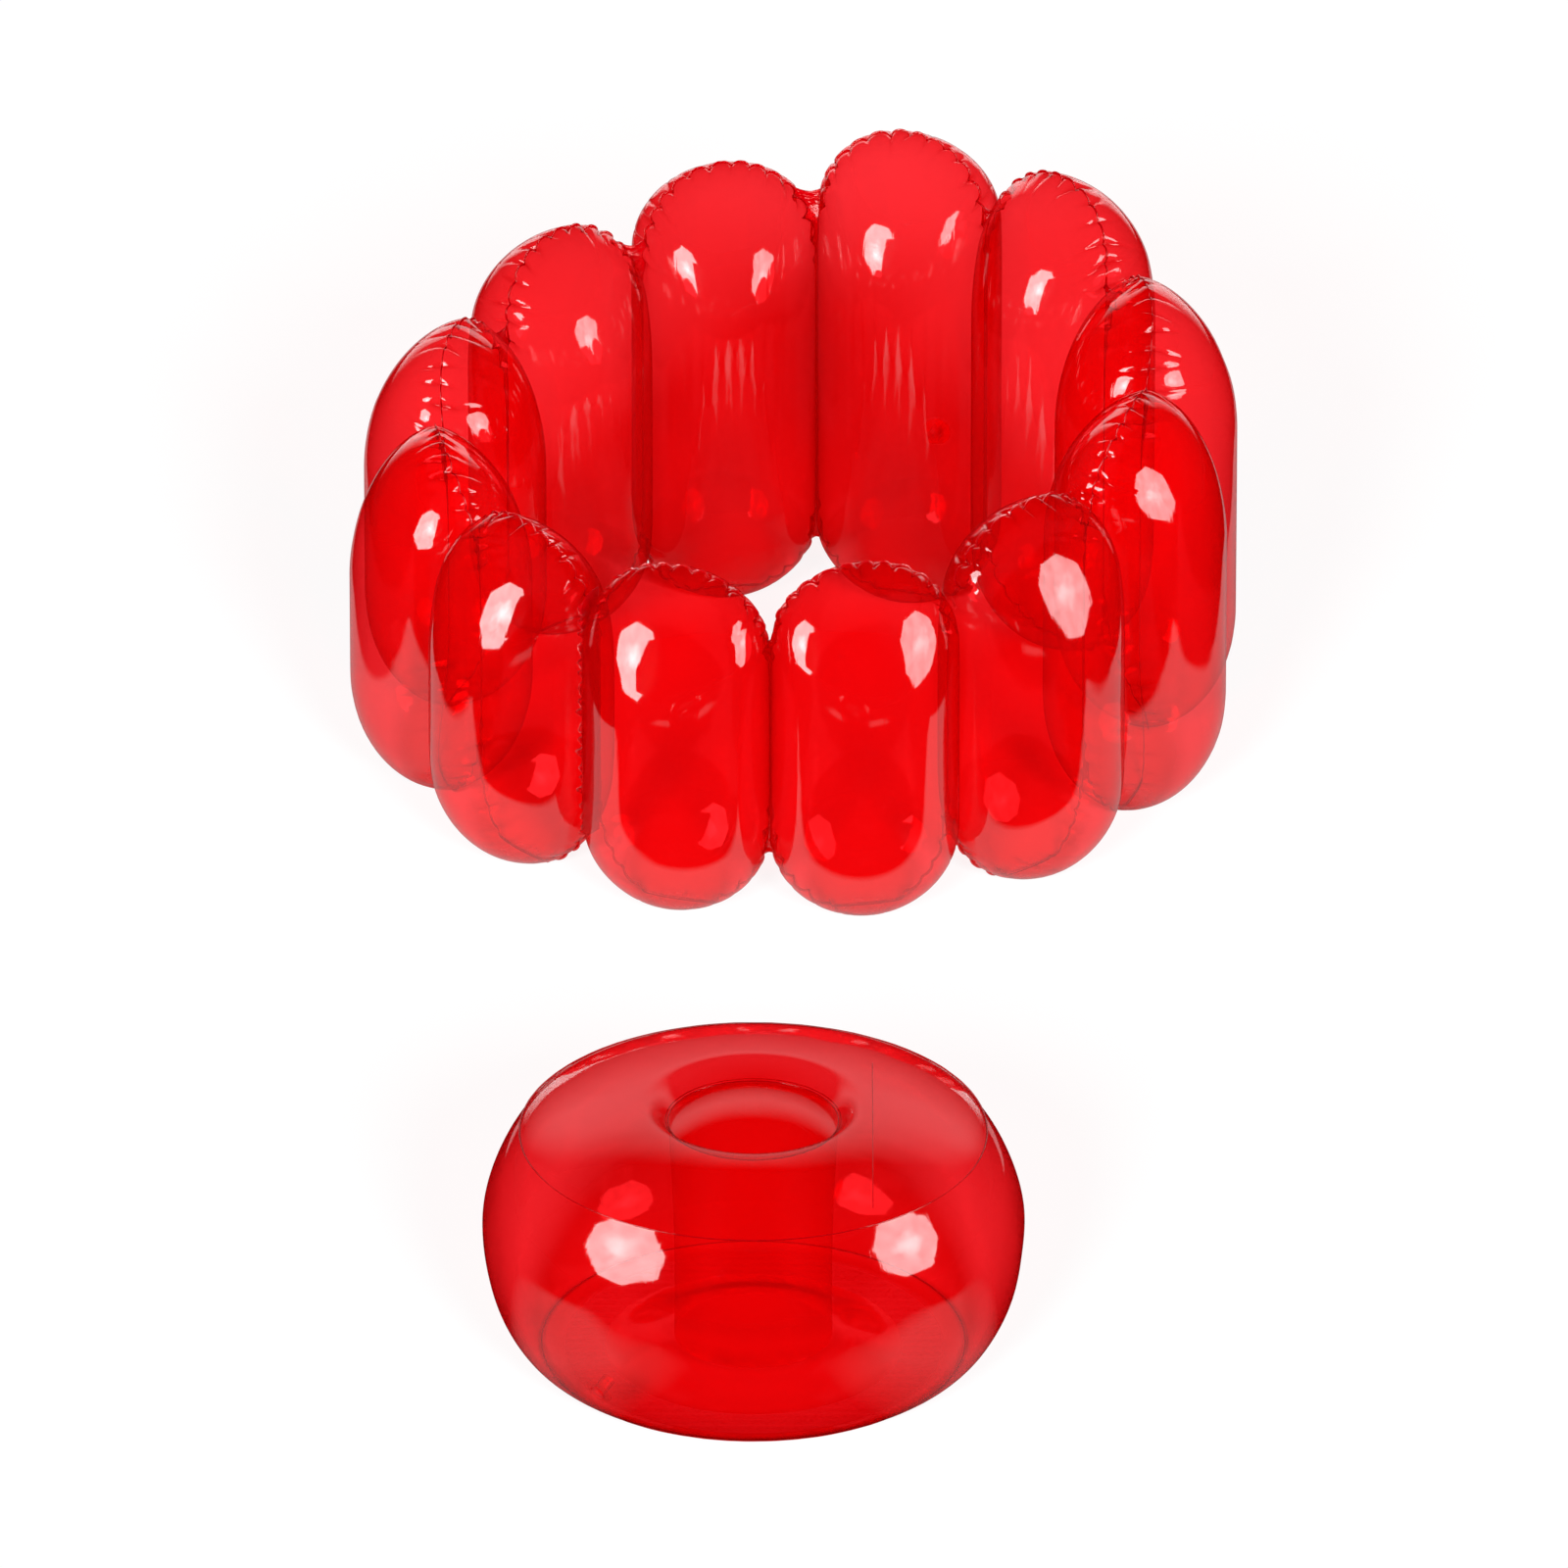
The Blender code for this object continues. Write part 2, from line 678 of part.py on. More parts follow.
def stand_on_origin(assembly):
    """Moves the whole model so that its box stands centred over the origin."""
    bpy.context.view_layer.update()
    corners = []
    for piece in bpy.data.objects:
        if piece.type == "MESH" and not piece.hide_render:
            corners += [piece.matrix_world @ Vector(corner) for corner in piece.bound_box]
    middle = [(min(c[i] for c in corners) + max(c[i] for c in corners)) / 2 for i in range(2)]
    assembly.location = (-middle[0], -middle[1], 0)
    bpy.context.view_layer.update()


def main():
    """Builds the chair."""
    clear_scene()
    film = film_material("red_film", RED_FILM, 0.6)
    deep_film = film_material("welded_red_film", DEEP_RED_FILM, 0.8)
    valve_material = film_material("red_valve", RED_VALVE, 0.9, 0.2)
    assembly = empty("assembly")
    ring = empty("ring", assembly, Matrix.Rotation(CHAIR_TURN, 4, "Z"))
    build_ring(ring, film, deep_film, valve_material)
    ahead = RING_RADIUS + CELL_RADIUS + SEAT_AHEAD + SEAT_RADIUS
    seat = empty("seat", assembly, Matrix.Translation((SEAT_ASIDE, -ahead, 0)))
    band = build_seat(seat, film, deep_film)
    build_seat_valve(seat, band, valve_material)
    stand_on_origin(assembly)


main()
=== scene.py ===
"""Looks of an inflatable ring chair in clear red vinyl film, with its round seat beside it.

Twelve air cells stand in a ring. Each is a bladder of two welded film panels whose curved ends
gather into puckers, and flat welds join it to its neighbours. The seat is a turned bladder with
a film column inside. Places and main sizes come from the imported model.
"""

import enum
import json
import logging
import math
from dataclasses import dataclass, field

import bpy
import numpy as np
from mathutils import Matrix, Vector

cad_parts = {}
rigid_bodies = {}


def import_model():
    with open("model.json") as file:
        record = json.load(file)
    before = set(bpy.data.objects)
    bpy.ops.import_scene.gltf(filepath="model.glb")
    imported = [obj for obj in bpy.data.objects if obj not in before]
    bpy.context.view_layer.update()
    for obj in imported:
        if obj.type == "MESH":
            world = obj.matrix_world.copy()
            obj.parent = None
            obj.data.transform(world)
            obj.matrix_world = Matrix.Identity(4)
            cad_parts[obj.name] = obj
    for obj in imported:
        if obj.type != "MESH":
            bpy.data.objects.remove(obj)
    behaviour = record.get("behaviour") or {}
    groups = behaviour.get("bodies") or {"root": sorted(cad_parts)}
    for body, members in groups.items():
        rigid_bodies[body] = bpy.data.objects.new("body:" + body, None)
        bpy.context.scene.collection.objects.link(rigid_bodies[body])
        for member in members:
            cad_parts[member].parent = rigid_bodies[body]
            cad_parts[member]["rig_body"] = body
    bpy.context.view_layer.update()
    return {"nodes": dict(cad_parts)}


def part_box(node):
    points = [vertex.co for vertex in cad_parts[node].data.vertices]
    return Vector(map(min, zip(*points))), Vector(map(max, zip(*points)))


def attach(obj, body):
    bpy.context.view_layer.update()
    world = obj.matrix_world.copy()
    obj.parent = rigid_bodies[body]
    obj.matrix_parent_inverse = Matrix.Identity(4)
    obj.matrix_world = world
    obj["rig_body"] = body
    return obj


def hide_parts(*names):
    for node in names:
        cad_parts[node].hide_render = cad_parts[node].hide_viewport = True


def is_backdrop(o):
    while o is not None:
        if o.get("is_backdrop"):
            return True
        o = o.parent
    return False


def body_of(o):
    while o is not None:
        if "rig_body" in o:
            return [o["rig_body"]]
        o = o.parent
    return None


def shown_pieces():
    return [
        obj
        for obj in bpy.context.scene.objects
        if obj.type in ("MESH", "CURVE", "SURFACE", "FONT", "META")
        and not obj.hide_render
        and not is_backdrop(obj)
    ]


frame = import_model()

log = logging.getLogger("chair")

MM = 0.001
PHOTO_SIZE = 1600
# Where the photograph shows the middle of the ring's foot
RING_FOOT_PIXEL = (810, 760)
# How far Blender's wave texture turns in a metre, in radians, at a scale of 1
WAVE_TURN = 20
WHITE = "#FFFFFF"
# A softbox's cloth as it looks through red film
WARM_WHITE = "#FFF4F4"


class Panel(enum.Enum):
    """The two film panels of an air cell, with the way each one faces."""

    OUTER = 1
    INNER = -1


class End(enum.Enum):
    """The two round ends of an air cell, with the way each one points."""

    TOP = 1
    FOOT = -1


class Slot(enum.Enum):
    """Material slots of the part's record."""

    CLEAR = "clear_vinyl"
    WELDED = "welded_vinyl"
    VALVE = "valve_vinyl"


def linear(colour: str) -> tuple[float, float, float, float]:
    """Turns an sRGB hex colour into a linear one.

    Args:
        colour: Six hex digits, with or without a leading hash.

    Returns:
        Red, green, blue and an alpha of 1.
    """
    digits = colour.lstrip("#")
    shares = [int(digits[i:i + 2], 16) / 255 for i in (0, 2, 4)]
    values = [s / 12.92 if s <= 0.04045 else ((s + 0.055) / 1.055) ** 2.4 for s in shares]
    return (*values, 1.0)


def add_node(tree: bpy.types.NodeTree, kind: str, inputs: dict | None = None,
             **settings) -> bpy.types.Node:
    """Adds a node to a tree, with its settings and what goes into its sockets.

    Args:
        tree: The shader or geometry tree.
        kind: The node's type.
        inputs: A value or an output socket for each input, by the input's name or number.
        settings: The node's own properties.

    Returns:
        The new node.
    """
    node = tree.nodes.new(kind)
    for name, value in settings.items():
        setattr(node, name, value)
    for key, value in (inputs or {}).items():
        if isinstance(value, bpy.types.NodeSocket):
            tree.links.new(value, node.inputs[key])
        else:
            node.inputs[key].default_value = value
    return node


def new_material(name: str) -> tuple[bpy.types.Material, bpy.types.NodeTree, bpy.types.Node]:
    """Makes an empty node material.

    Args:
        name: The finish it is named for.

    Returns:
        The material, its tree and its output node.
    """
    material = bpy.data.materials.new(name)
    material.use_nodes = True
    tree = material.node_tree
    tree.nodes.clear()
    return material, tree, add_node(tree, "ShaderNodeOutputMaterial")


def fine_grain(tree: bpy.types.NodeTree, place: bpy.types.NodeSocket, size: float, height: float,
               detail: float = 2.0) -> bpy.types.NodeSocket:
    """Builds the relief of a skin with one even grain.

    Args:
        tree: The material's tree.
        place: Object coordinates.
        size: How wide a grain is.
        height: How high it stands.
        detail: How much finer grain lies on it.

    Returns:
        The shading normal.
    """
    grain = add_node(tree, "ShaderNodeTexNoise", {"Vector": place, "Scale": 1 / size, "Detail": detail})
    bump = add_node(tree, "ShaderNodeBump", {"Height": grain.outputs["Fac"], "Distance": height})
    return bump.outputs["Normal"]


def pool_of_light(tree: bpy.types.NodeTree, axes: bpy.types.Node, middle: float, half_width: float,
                  heights: tuple[float, float]) -> bpy.types.NodeSocket:
    """Builds the fall of light on an upright sheet, from its lower middle upward and to both sides.

    Args:
        tree: The material's tree.
        axes: The node that gives X and Z.
        middle: Where the light is strongest, along X.
        half_width: How far from there it ends. Up to half as far it is full.
        heights: Up to where it is full, and where it ends.

    Returns:
        The share of the full light.
    """
    upward = add_node(tree, "ShaderNodeMapRange", {
        "Value": axes.outputs["Z"], "From Min": heights[0], "From Max": heights[1],
        "To Min": 1.0, "To Max": 0.0,
    }, interpolation_type="SMOOTHSTEP")
    aside = add_node(tree, "ShaderNodeMath", {0: axes.outputs["X"], 1: middle}, operation="SUBTRACT")
    aside = add_node(tree, "ShaderNodeMath", {0: aside.outputs["Value"]}, operation="ABSOLUTE")
    sideways = add_node(tree, "ShaderNodeMapRange", {
        "Value": aside.outputs["Value"], "From Min": half_width / 2, "From Max": half_width,
        "To Min": 1.0, "To Max": 0.0,
    }, interpolation_type="SMOOTHSTEP")
    lit = add_node(tree, "ShaderNodeMath", {
        0: upward.outputs["Result"], 1: sideways.outputs["Result"],
    }, operation="MULTIPLY")
    return lit.outputs["Value"]


@dataclass(frozen=True)
class Vinyl:
    """A red PVC: part of the light passes tinted, part meets the mass, and the faces mirror."""

    name: str
    tint: str
    edge_tint: str
    body: str
    body_share: float
    head_on_gloss: float
    roughness: float
    grazing_gloss: float = 0.62
    grain_size: float = 1.5 * MM
    grain_height: float = 0.05 * MM
    haze_size: float = 18 * MM
    haze_spread: tuple[float, float] = (0.7, 1.4)
    edge_power: float = 2.5
    gloss_power: float = 5.0

    def relief(self, tree: bpy.types.NodeTree, place: bpy.types.NodeSocket) -> bpy.types.NodeSocket:
        """Builds the faint orange peel of a moulded skin.

        Args:
            tree: The material's tree.
            place: Object coordinates.

        Returns:
            The shading normal.
        """
        return fine_grain(tree, place, self.grain_size, self.grain_height)

    def material(self) -> bpy.types.Material:
        """Builds the shader.

        Returns:
            A material that mixes tinted passing light, a body colour and gloss.
        """
        material, tree, output = new_material(self.name)
        place = add_node(tree, "ShaderNodeTexCoord").outputs["Object"]
        normal = self.relief(tree, place)
        haze = add_node(tree, "ShaderNodeTexNoise", {
            "Vector": place, "Scale": 1 / self.haze_size, "Detail": 3.0,
        })
        rough = add_node(tree, "ShaderNodeMapRange", {
            "Value": haze.outputs["Fac"], "To Min": self.roughness * self.haze_spread[0],
            "To Max": self.roughness * self.haze_spread[1],
        }).outputs["Result"]
        facing = add_node(tree, "ShaderNodeLayerWeight", {"Blend": 0.5}).outputs["Facing"]
        edge = add_node(tree, "ShaderNodeMath", {0: facing, 1: self.edge_power}, operation="POWER")
        # The tint deepens at grazing angles, where the path through the film is longer, and along the pucker
        # creases, where doubled film and painted shade darken it
        folds = add_node(tree, "ShaderNodeAttribute", attribute_name="folds").outputs["Fac"]
        edge = add_node(tree, "ShaderNodeMath", {0: edge.outputs["Value"], 1: folds}, operation="MAXIMUM")
        colour = add_node(tree, "ShaderNodeMix", {
            0: edge.outputs["Value"], 6: linear(self.tint), 7: linear(self.edge_tint),
        }, data_type="RGBA")
        passed = add_node(tree, "ShaderNodeBsdfTransparent", {"Color": colour.outputs[2]})
        mass = add_node(tree, "ShaderNodeBsdfPrincipled", {
            "Base Color": linear(self.body), "Roughness": rough, "Specular IOR Level": 0.0,
            "Normal": normal,
        })
        film = add_node(tree, "ShaderNodeMixShader", {
            0: self.body_share, 1: passed.outputs["BSDF"], 2: mass.outputs["BSDF"],
        })
        steep = add_node(tree, "ShaderNodeMath", {0: facing, 1: self.gloss_power}, operation="POWER")
        mirrored = add_node(tree, "ShaderNodeMapRange", {
            "Value": steep.outputs["Value"], "To Min": self.head_on_gloss, "To Max": self.grazing_gloss,
        })
        gloss = add_node(tree, "ShaderNodeBsdfGlossy", {
            "Color": linear(WHITE), "Roughness": rough, "Normal": normal,
        })
        surface = add_node(tree, "ShaderNodeMixShader", {
            0: mirrored.outputs["Result"], 1: film.outputs["Shader"], 2: gloss.outputs["BSDF"],
        })
        tree.links.new(surface.outputs["Shader"], output.inputs["Surface"])
        return material


@dataclass(frozen=True)
class ClearVinyl(Vinyl):
    """Calendered clear PVC film, tinted red in the mass and glossy on both faces.

    It colours what is seen through it, deeper where layers lie one behind another, and mirrors
    the softboxes sharply. The calender's rolls leave a slight waver, and gathered film is drawn
    into fine streaks.
    """

    name: str = "clear_red_pvc_film"
    tint: str = "#FC7880"
    edge_tint: str = "#D8202A"
    body: str = "#F0040E"
    body_share: float = 0.05
    head_on_gloss: float = 0.08
    roughness: float = 0.045
    grazing_gloss: float = 0.45
    waver_size: float = 75 * MM
    waver_height: float = 0.9 * MM
    streak_width: float = 5 * MM
    streak_length: float = 55 * MM
    streak_height: float = 0.45 * MM
    streak_levels: tuple[float, float] = (0.52, 0.78)

    def relief(self, tree: bpy.types.NodeTree, place: bpy.types.NodeSocket) -> bpy.types.NodeSocket:
        """Builds the calender's waver and the streaks of gathered film.

        Args:
            tree: The material's tree.
            place: Object coordinates.

        Returns:
            The shading normal.
        """
        waver = add_node(tree, "ShaderNodeTexNoise", {
            "Vector": place, "Scale": 1 / self.waver_size, "Detail": 1.5, "Roughness": 0.4,
        })
        waved = add_node(tree, "ShaderNodeBump", {
            "Height": waver.outputs["Fac"], "Distance": self.waver_height,
        })
        along = add_node(tree, "ShaderNodeMapping", {
            "Vector": add_node(tree, "ShaderNodeUVMap", uv_map="film").outputs["UV"],
            "Scale": (1 / self.streak_width, 1 / self.streak_length, 1.0),
        })
        streaks = add_node(tree, "ShaderNodeTexNoise", {
            "Vector": along.outputs["Vector"], "Scale": 1.0, "Detail": 2.0, "Roughness": 0.6,
        })
        sharp = add_node(tree, "ShaderNodeMapRange", {
            "Value": streaks.outputs["Fac"],
            "From Min": self.streak_levels[0], "From Max": self.streak_levels[1],
        }, interpolation_type="SMOOTHSTEP")
        gathered = add_node(tree, "ShaderNodeAttribute", attribute_name="gathers")
        masked = add_node(tree, "ShaderNodeMath", {
            0: sharp.outputs["Result"], 1: gathered.outputs["Fac"],
        }, operation="MULTIPLY")
        creased = add_node(tree, "ShaderNodeBump", {
            "Height": masked.outputs["Value"], "Distance": self.streak_height,
            "Normal": waved.outputs["Normal"],
        })
        return creased.outputs["Normal"]


@dataclass(frozen=True)
class WeldedVinyl(Vinyl):
    """Two films fused by the welding bar: darker, less clear, with the bar's fine ribs."""

    name: str = "fused_red_pvc_weld"
    tint: str = "#E02630"
    edge_tint: str = "#A00810"
    body: str = "#B40008"
    body_share: float = 0.38
    head_on_gloss: float = 0.1
    roughness: float = 0.1
    rib_pitch: float = 1.6 * MM
    rib_height: float = 0.12 * MM
    crinkle_size: float = 7 * MM
    crinkle_height: float = 0.7 * MM

    def relief(self, tree: bpy.types.NodeTree, place: bpy.types.NodeSocket) -> bpy.types.NodeSocket:
        """Builds the welding bar's ribs over a crinkle.

        Args:
            tree: The material's tree.
            place: Object coordinates.

        Returns:
            The shading normal.
        """
        crinkle = fine_grain(tree, place, self.crinkle_size, self.crinkle_height, detail=3.0)
        ribs = add_node(tree, "ShaderNodeTexWave", {
            "Vector": place, "Scale": 2 * math.pi / (WAVE_TURN * self.rib_pitch), "Distortion": 0.6,
        }, bands_direction="Z")
        ribbed = add_node(tree, "ShaderNodeBump", {
            "Height": ribs.outputs["Fac"], "Distance": self.rib_height, "Normal": crinkle,
        })
        return ribbed.outputs["Normal"]


@dataclass(frozen=True)
class ValveVinyl(Vinyl):
    """Soft moulded PVC of the valves: thicker and milkier than the film, with a satin skin."""

    name: str = "moulded_red_pvc_valve"
    tint: str = "#FC7880"
    edge_tint: str = "#D02832"
    body: str = "#E81420"
    body_share: float = 0.12
    head_on_gloss: float = 0.06
    roughness: float = 0.2


@dataclass(frozen=True)
class WhiteSweep:
    """White paper under and behind the ring and the seat; black cloth beyond it is seen by glossy rays alone,
    a painted dark reflection.

    The camera sees a clean white ground, the part's shadow faint on it. Only the film's gloss
    tells where the paper ends.
    """

    name: str = "white_sweep_on_black_cloth"
    paper: str = "#F4F2F2"
    cloth: str = "#0A0A0A"
    ground_share: float = 0.88
    grain_size: float = 4 * MM
    grain_height: float = 0.05 * MM

    def material(self, sheets: list[tuple[tuple, tuple, float, float]]) -> bpy.types.Material:
        """Builds the floor's shader.

        Args:
            sheets: Lowest and highest corner of each sheet of paper, how white it looks in the gloss,
                and how soft its edge is.

        Returns:
            A material that keeps the part's shadow faint where it is seen directly.
        """
        material, tree, output = new_material(self.name)
        place = add_node(tree, "ShaderNodeTexCoord").outputs["Object"]
        axes = add_node(tree, "ShaderNodeSeparateXYZ", {"Vector": place})
        path = add_node(tree, "ShaderNodeLightPath")
        beyond = path.outputs["Is Glossy Ray"]
        # Glossy rays alone see the cloth beyond the sheets and the sheets' lowered whiteness: a painted
        # reflection of a dark floor
        for low, high, whiteness, blur in sheets:
            inside = whiteness
            for axis, start, end in (("X", low[0], high[0]), ("Y", low[1], high[1])):
                for edge, way in ((start, 1), (end, -1)):
                    share = add_node(tree, "ShaderNodeMapRange", {
                        "Value": axes.outputs[axis], "From Min": edge - way * blur,
                        "From Max": edge + way * blur,
                    }).outputs["Result"]
                    inside = add_node(tree, "ShaderNodeMath", {0: inside, 1: share},
                                      operation="MULTIPLY").outputs["Value"]
            outside = add_node(tree, "ShaderNodeMath", {0: 1.0, 1: inside}, operation="SUBTRACT")
            beyond = add_node(tree, "ShaderNodeMath", {0: beyond, 1: outside.outputs["Value"]},
                              operation="MULTIPLY").outputs["Value"]
        colour = add_node(tree, "ShaderNodeMix", {
            0: beyond, 6: linear(self.paper), 7: linear(self.cloth),
        }, data_type="RGBA")
        board = add_node(tree, "ShaderNodeBsdfDiffuse", {
            "Color": colour.outputs[2],
            "Normal": fine_grain(tree, place, self.grain_size, self.grain_height),
        })
        ground = add_node(tree, "ShaderNodeEmission", {"Color": linear(WHITE), "Strength": 1.0})
        bare = add_node(tree, "ShaderNodeMath", {0: path.outputs["Transparent Depth"], 1: 0.5},
                        operation="LESS_THAN")
        direct = add_node(tree, "ShaderNodeMath", {
            0: path.outputs["Is Camera Ray"], 1: bare.outputs["Value"],
        }, operation="MULTIPLY")
        share = add_node(tree, "ShaderNodeMath", {0: direct.outputs["Value"], 1: self.ground_share},
                         operation="MULTIPLY")
        mixed = add_node(tree, "ShaderNodeMixShader", {
            0: share.outputs["Value"], 1: board.outputs["BSDF"], 2: ground.outputs["Emission"],
        })
        tree.links.new(mixed.outputs["Shader"], output.inputs["Surface"])
        return material


@dataclass(frozen=True)
class PaperBackdrop:
    """White paper hung behind the set, with a painted fall of light: darker upward and to both sides."""

    name: str = "white_paper_backdrop"
    paper: str = "#DCDADA"
    shade: str = "#101010"
    bright_height: float = 1.9
    dark_height: float = 2.9
    half_width: float = 2.5
    grain_size: float = 4 * MM
    grain_height: float = 0.05 * MM

    def material(self, middle: float) -> bpy.types.Material:
        """Builds the paper's shader.

        Args:
            middle: Where the light is strongest, along X.

        Returns:
            A diffuse material with painted shade away from the middle of its foot.
        """
        material, tree, output = new_material(self.name)
        place = add_node(tree, "ShaderNodeTexCoord").outputs["Object"]
        axes = add_node(tree, "ShaderNodeSeparateXYZ", {"Vector": place})
        # The fall of light is painted into the paper's colour, not cast by a lamp
        lit = pool_of_light(tree, axes, middle, self.half_width, (self.bright_height, self.dark_height))
        colour = add_node(tree, "ShaderNodeMix", {
            0: lit, 6: linear(self.shade), 7: linear(self.paper),
        }, data_type="RGBA")
        board = add_node(tree, "ShaderNodeBsdfDiffuse", {
            "Color": colour.outputs[2],
            "Normal": fine_grain(tree, place, self.grain_size, self.grain_height),
        })
        tree.links.new(board.outputs["BSDF"], output.inputs["Surface"])
        return material


@dataclass(frozen=True)
class BlackCloth:
    """Matt black studio cloth, hung where the film's gloss is to stay dark."""

    name: str = "black_studio_cloth"
    colour: str = "#121212"
    weave_size: float = 2 * MM
    weave_height: float = 0.2 * MM

    def material(self) -> bpy.types.Material:
        """Builds the cloth's shader.

        Returns:
            A dark diffuse material with a fine weave.
        """
        material, tree, output = new_material(self.name)
        place = add_node(tree, "ShaderNodeTexCoord").outputs["Object"]
        cloth = add_node(tree, "ShaderNodeBsdfDiffuse", {
            "Color": linear(self.colour),
            "Normal": fine_grain(tree, place, self.weave_size, self.weave_height),
        })
        tree.links.new(cloth.outputs["BSDF"], output.inputs["Surface"])
        return material


@dataclass(frozen=True)
class LampCloth:
    """White diffuser of a softbox: a hot spot before the bulb, and the cloth's slack in the rest."""

    radiance: float
    name: str = "softbox_diffuser"
    colour: str = WARM_WHITE
    hot_share: float = 1.8
    hot_reach: float = 0.5
    slack_size: float = 140 * MM
    slack_levels: tuple[float, float] = (0.3, 0.7)
    slack_shares: tuple[float, float] = (0.82, 1.18)

    def material(self, middle: Vector, reach: float) -> bpy.types.Material:
        """Builds the diffuser's shader.

        Args:
            middle: The softbox's middle.
            reach: Its half width.

        Returns:
            An emitting material that is brightest near its middle.
        """
        material, tree, output = new_material(self.name)
        place = add_node(tree, "ShaderNodeTexCoord").outputs["Object"]
        apart = add_node(tree, "ShaderNodeVectorMath", {0: place, 1: tuple(middle)}, operation="DISTANCE")
        slack = add_node(tree, "ShaderNodeTexNoise", {
            "Vector": place, "Scale": 1 / self.slack_size, "Detail": 2.0,
        })
        uneven = add_node(tree, "ShaderNodeMapRange", {
            "Value": slack.outputs["Fac"],
            "From Min": self.slack_levels[0], "From Max": self.slack_levels[1],
            "To Min": self.slack_shares[0], "To Max": self.slack_shares[1],
        })
        bulb = add_node(tree, "ShaderNodeMath", {0: apart.outputs["Value"], 1: uneven.outputs["Result"]},
                        operation="DIVIDE")
        glow = add_node(tree, "ShaderNodeMapRange", {
            "Value": bulb.outputs["Value"], "From Max": reach * self.hot_reach,
            "To Min": self.radiance * self.hot_share, "To Max": self.radiance,
        }, interpolation_type="SMOOTHSTEP")
        strength = add_node(tree, "ShaderNodeMath", {0: glow.outputs["Result"], 1: uneven.outputs["Result"]},
                            operation="MULTIPLY")
        light = add_node(tree, "ShaderNodeEmission", {
            "Color": linear(self.colour), "Strength": strength.outputs["Value"],
        })
        tree.links.new(light.outputs["Emission"], output.inputs["Surface"])
        return material


@dataclass(frozen=True)
class SeatCard:
    """Pale card hung behind the seat, which gives the back of its top a soft sheen.

    Only the seat's gloss sees it. Its light falls off upward, to both sides and to its foot.
    """

    name: str = "pale_card"
    colour: str = WARM_WHITE
    radiance: float = 0.7
    foot: float = 340 * MM
    full_height: float = 520 * MM
    fade_height: float = 540 * MM
    top: float = 880 * MM
    half_width: float = 750 * MM
    foot_share: float = 0.15
    behind: float = 480 * MM

    def material(self) -> bpy.types.Material:
        """Builds the card's shader.

        Returns:
            An emitting material, brightest above its foot.
        """
        material, tree, output = new_material(self.name)
        place = add_node(tree, "ShaderNodeTexCoord").outputs["Object"]
        axes = add_node(tree, "ShaderNodeSeparateXYZ", {"Vector": place})
        rising = add_node(tree, "ShaderNodeMapRange", {
            "Value": axes.outputs["Z"], "From Min": self.foot, "From Max": self.full_height,
            "To Min": self.foot_share * self.radiance, "To Max": self.radiance,
        })
        lit = pool_of_light(tree, axes, 0.0, self.half_width, (self.fade_height, self.top))
        strength = add_node(tree, "ShaderNodeMath", {0: lit, 1: rising.outputs["Result"]},
                            operation="MULTIPLY")
        light = add_node(tree, "ShaderNodeEmission", {
            "Color": linear(self.colour), "Strength": strength.outputs["Value"],
        })
        tree.links.new(light.outputs["Emission"], output.inputs["Surface"])
        material.cycles.emission_sampling = "NONE"
        return material


def add_mesh(name: str, points: np.ndarray, faces: list,
             material: bpy.types.Material) -> bpy.types.Object:
    """Makes a smooth mesh object at the origin, with its place in its mesh.

    Args:
        name: The piece's name.
        points: World positions, one row each.
        faces: Point numbers of each face.
        material: The piece's finish.

    Returns:
        The linked object.
    """
    mesh = bpy.data.meshes.new(name)
    mesh.from_pydata(np.asarray(points, float).tolist(), [], faces)
    mesh.validate()
    mesh.shade_smooth()
    mesh.materials.append(material)
    piece = bpy.data.objects.new(name, mesh)
    bpy.context.scene.collection.objects.link(piece)
    return piece


def dress_mesh(mesh: bpy.types.Mesh, uv: np.ndarray, gathers: np.ndarray, folds: np.ndarray) -> None:
    """Lays a film's own coordinates, its gathers and how much it lies doubled, with the creases' painted
    shade, on a mesh.

    Args:
        mesh: The film's mesh.
        uv: Girth and length in metres for each point.
        gathers: How strongly the film is drawn into fine creases at each point.
        folds: How much the film lies doubled there. Along the creases this also darkens the tint as painted
            shade.
    """
    loops = np.zeros(len(mesh.loops), int)
    mesh.loops.foreach_get("vertex_index", loops)
    layer = mesh.uv_layers.new(name="film")
    layer.data.foreach_set("uv", uv[loops].astype(np.float32).ravel())
    for name, values in (("gathers", gathers), ("folds", folds)):
        attribute = mesh.attributes.new(name, "FLOAT", "POINT")
        attribute.data.foreach_set("value", values.astype(np.float32))


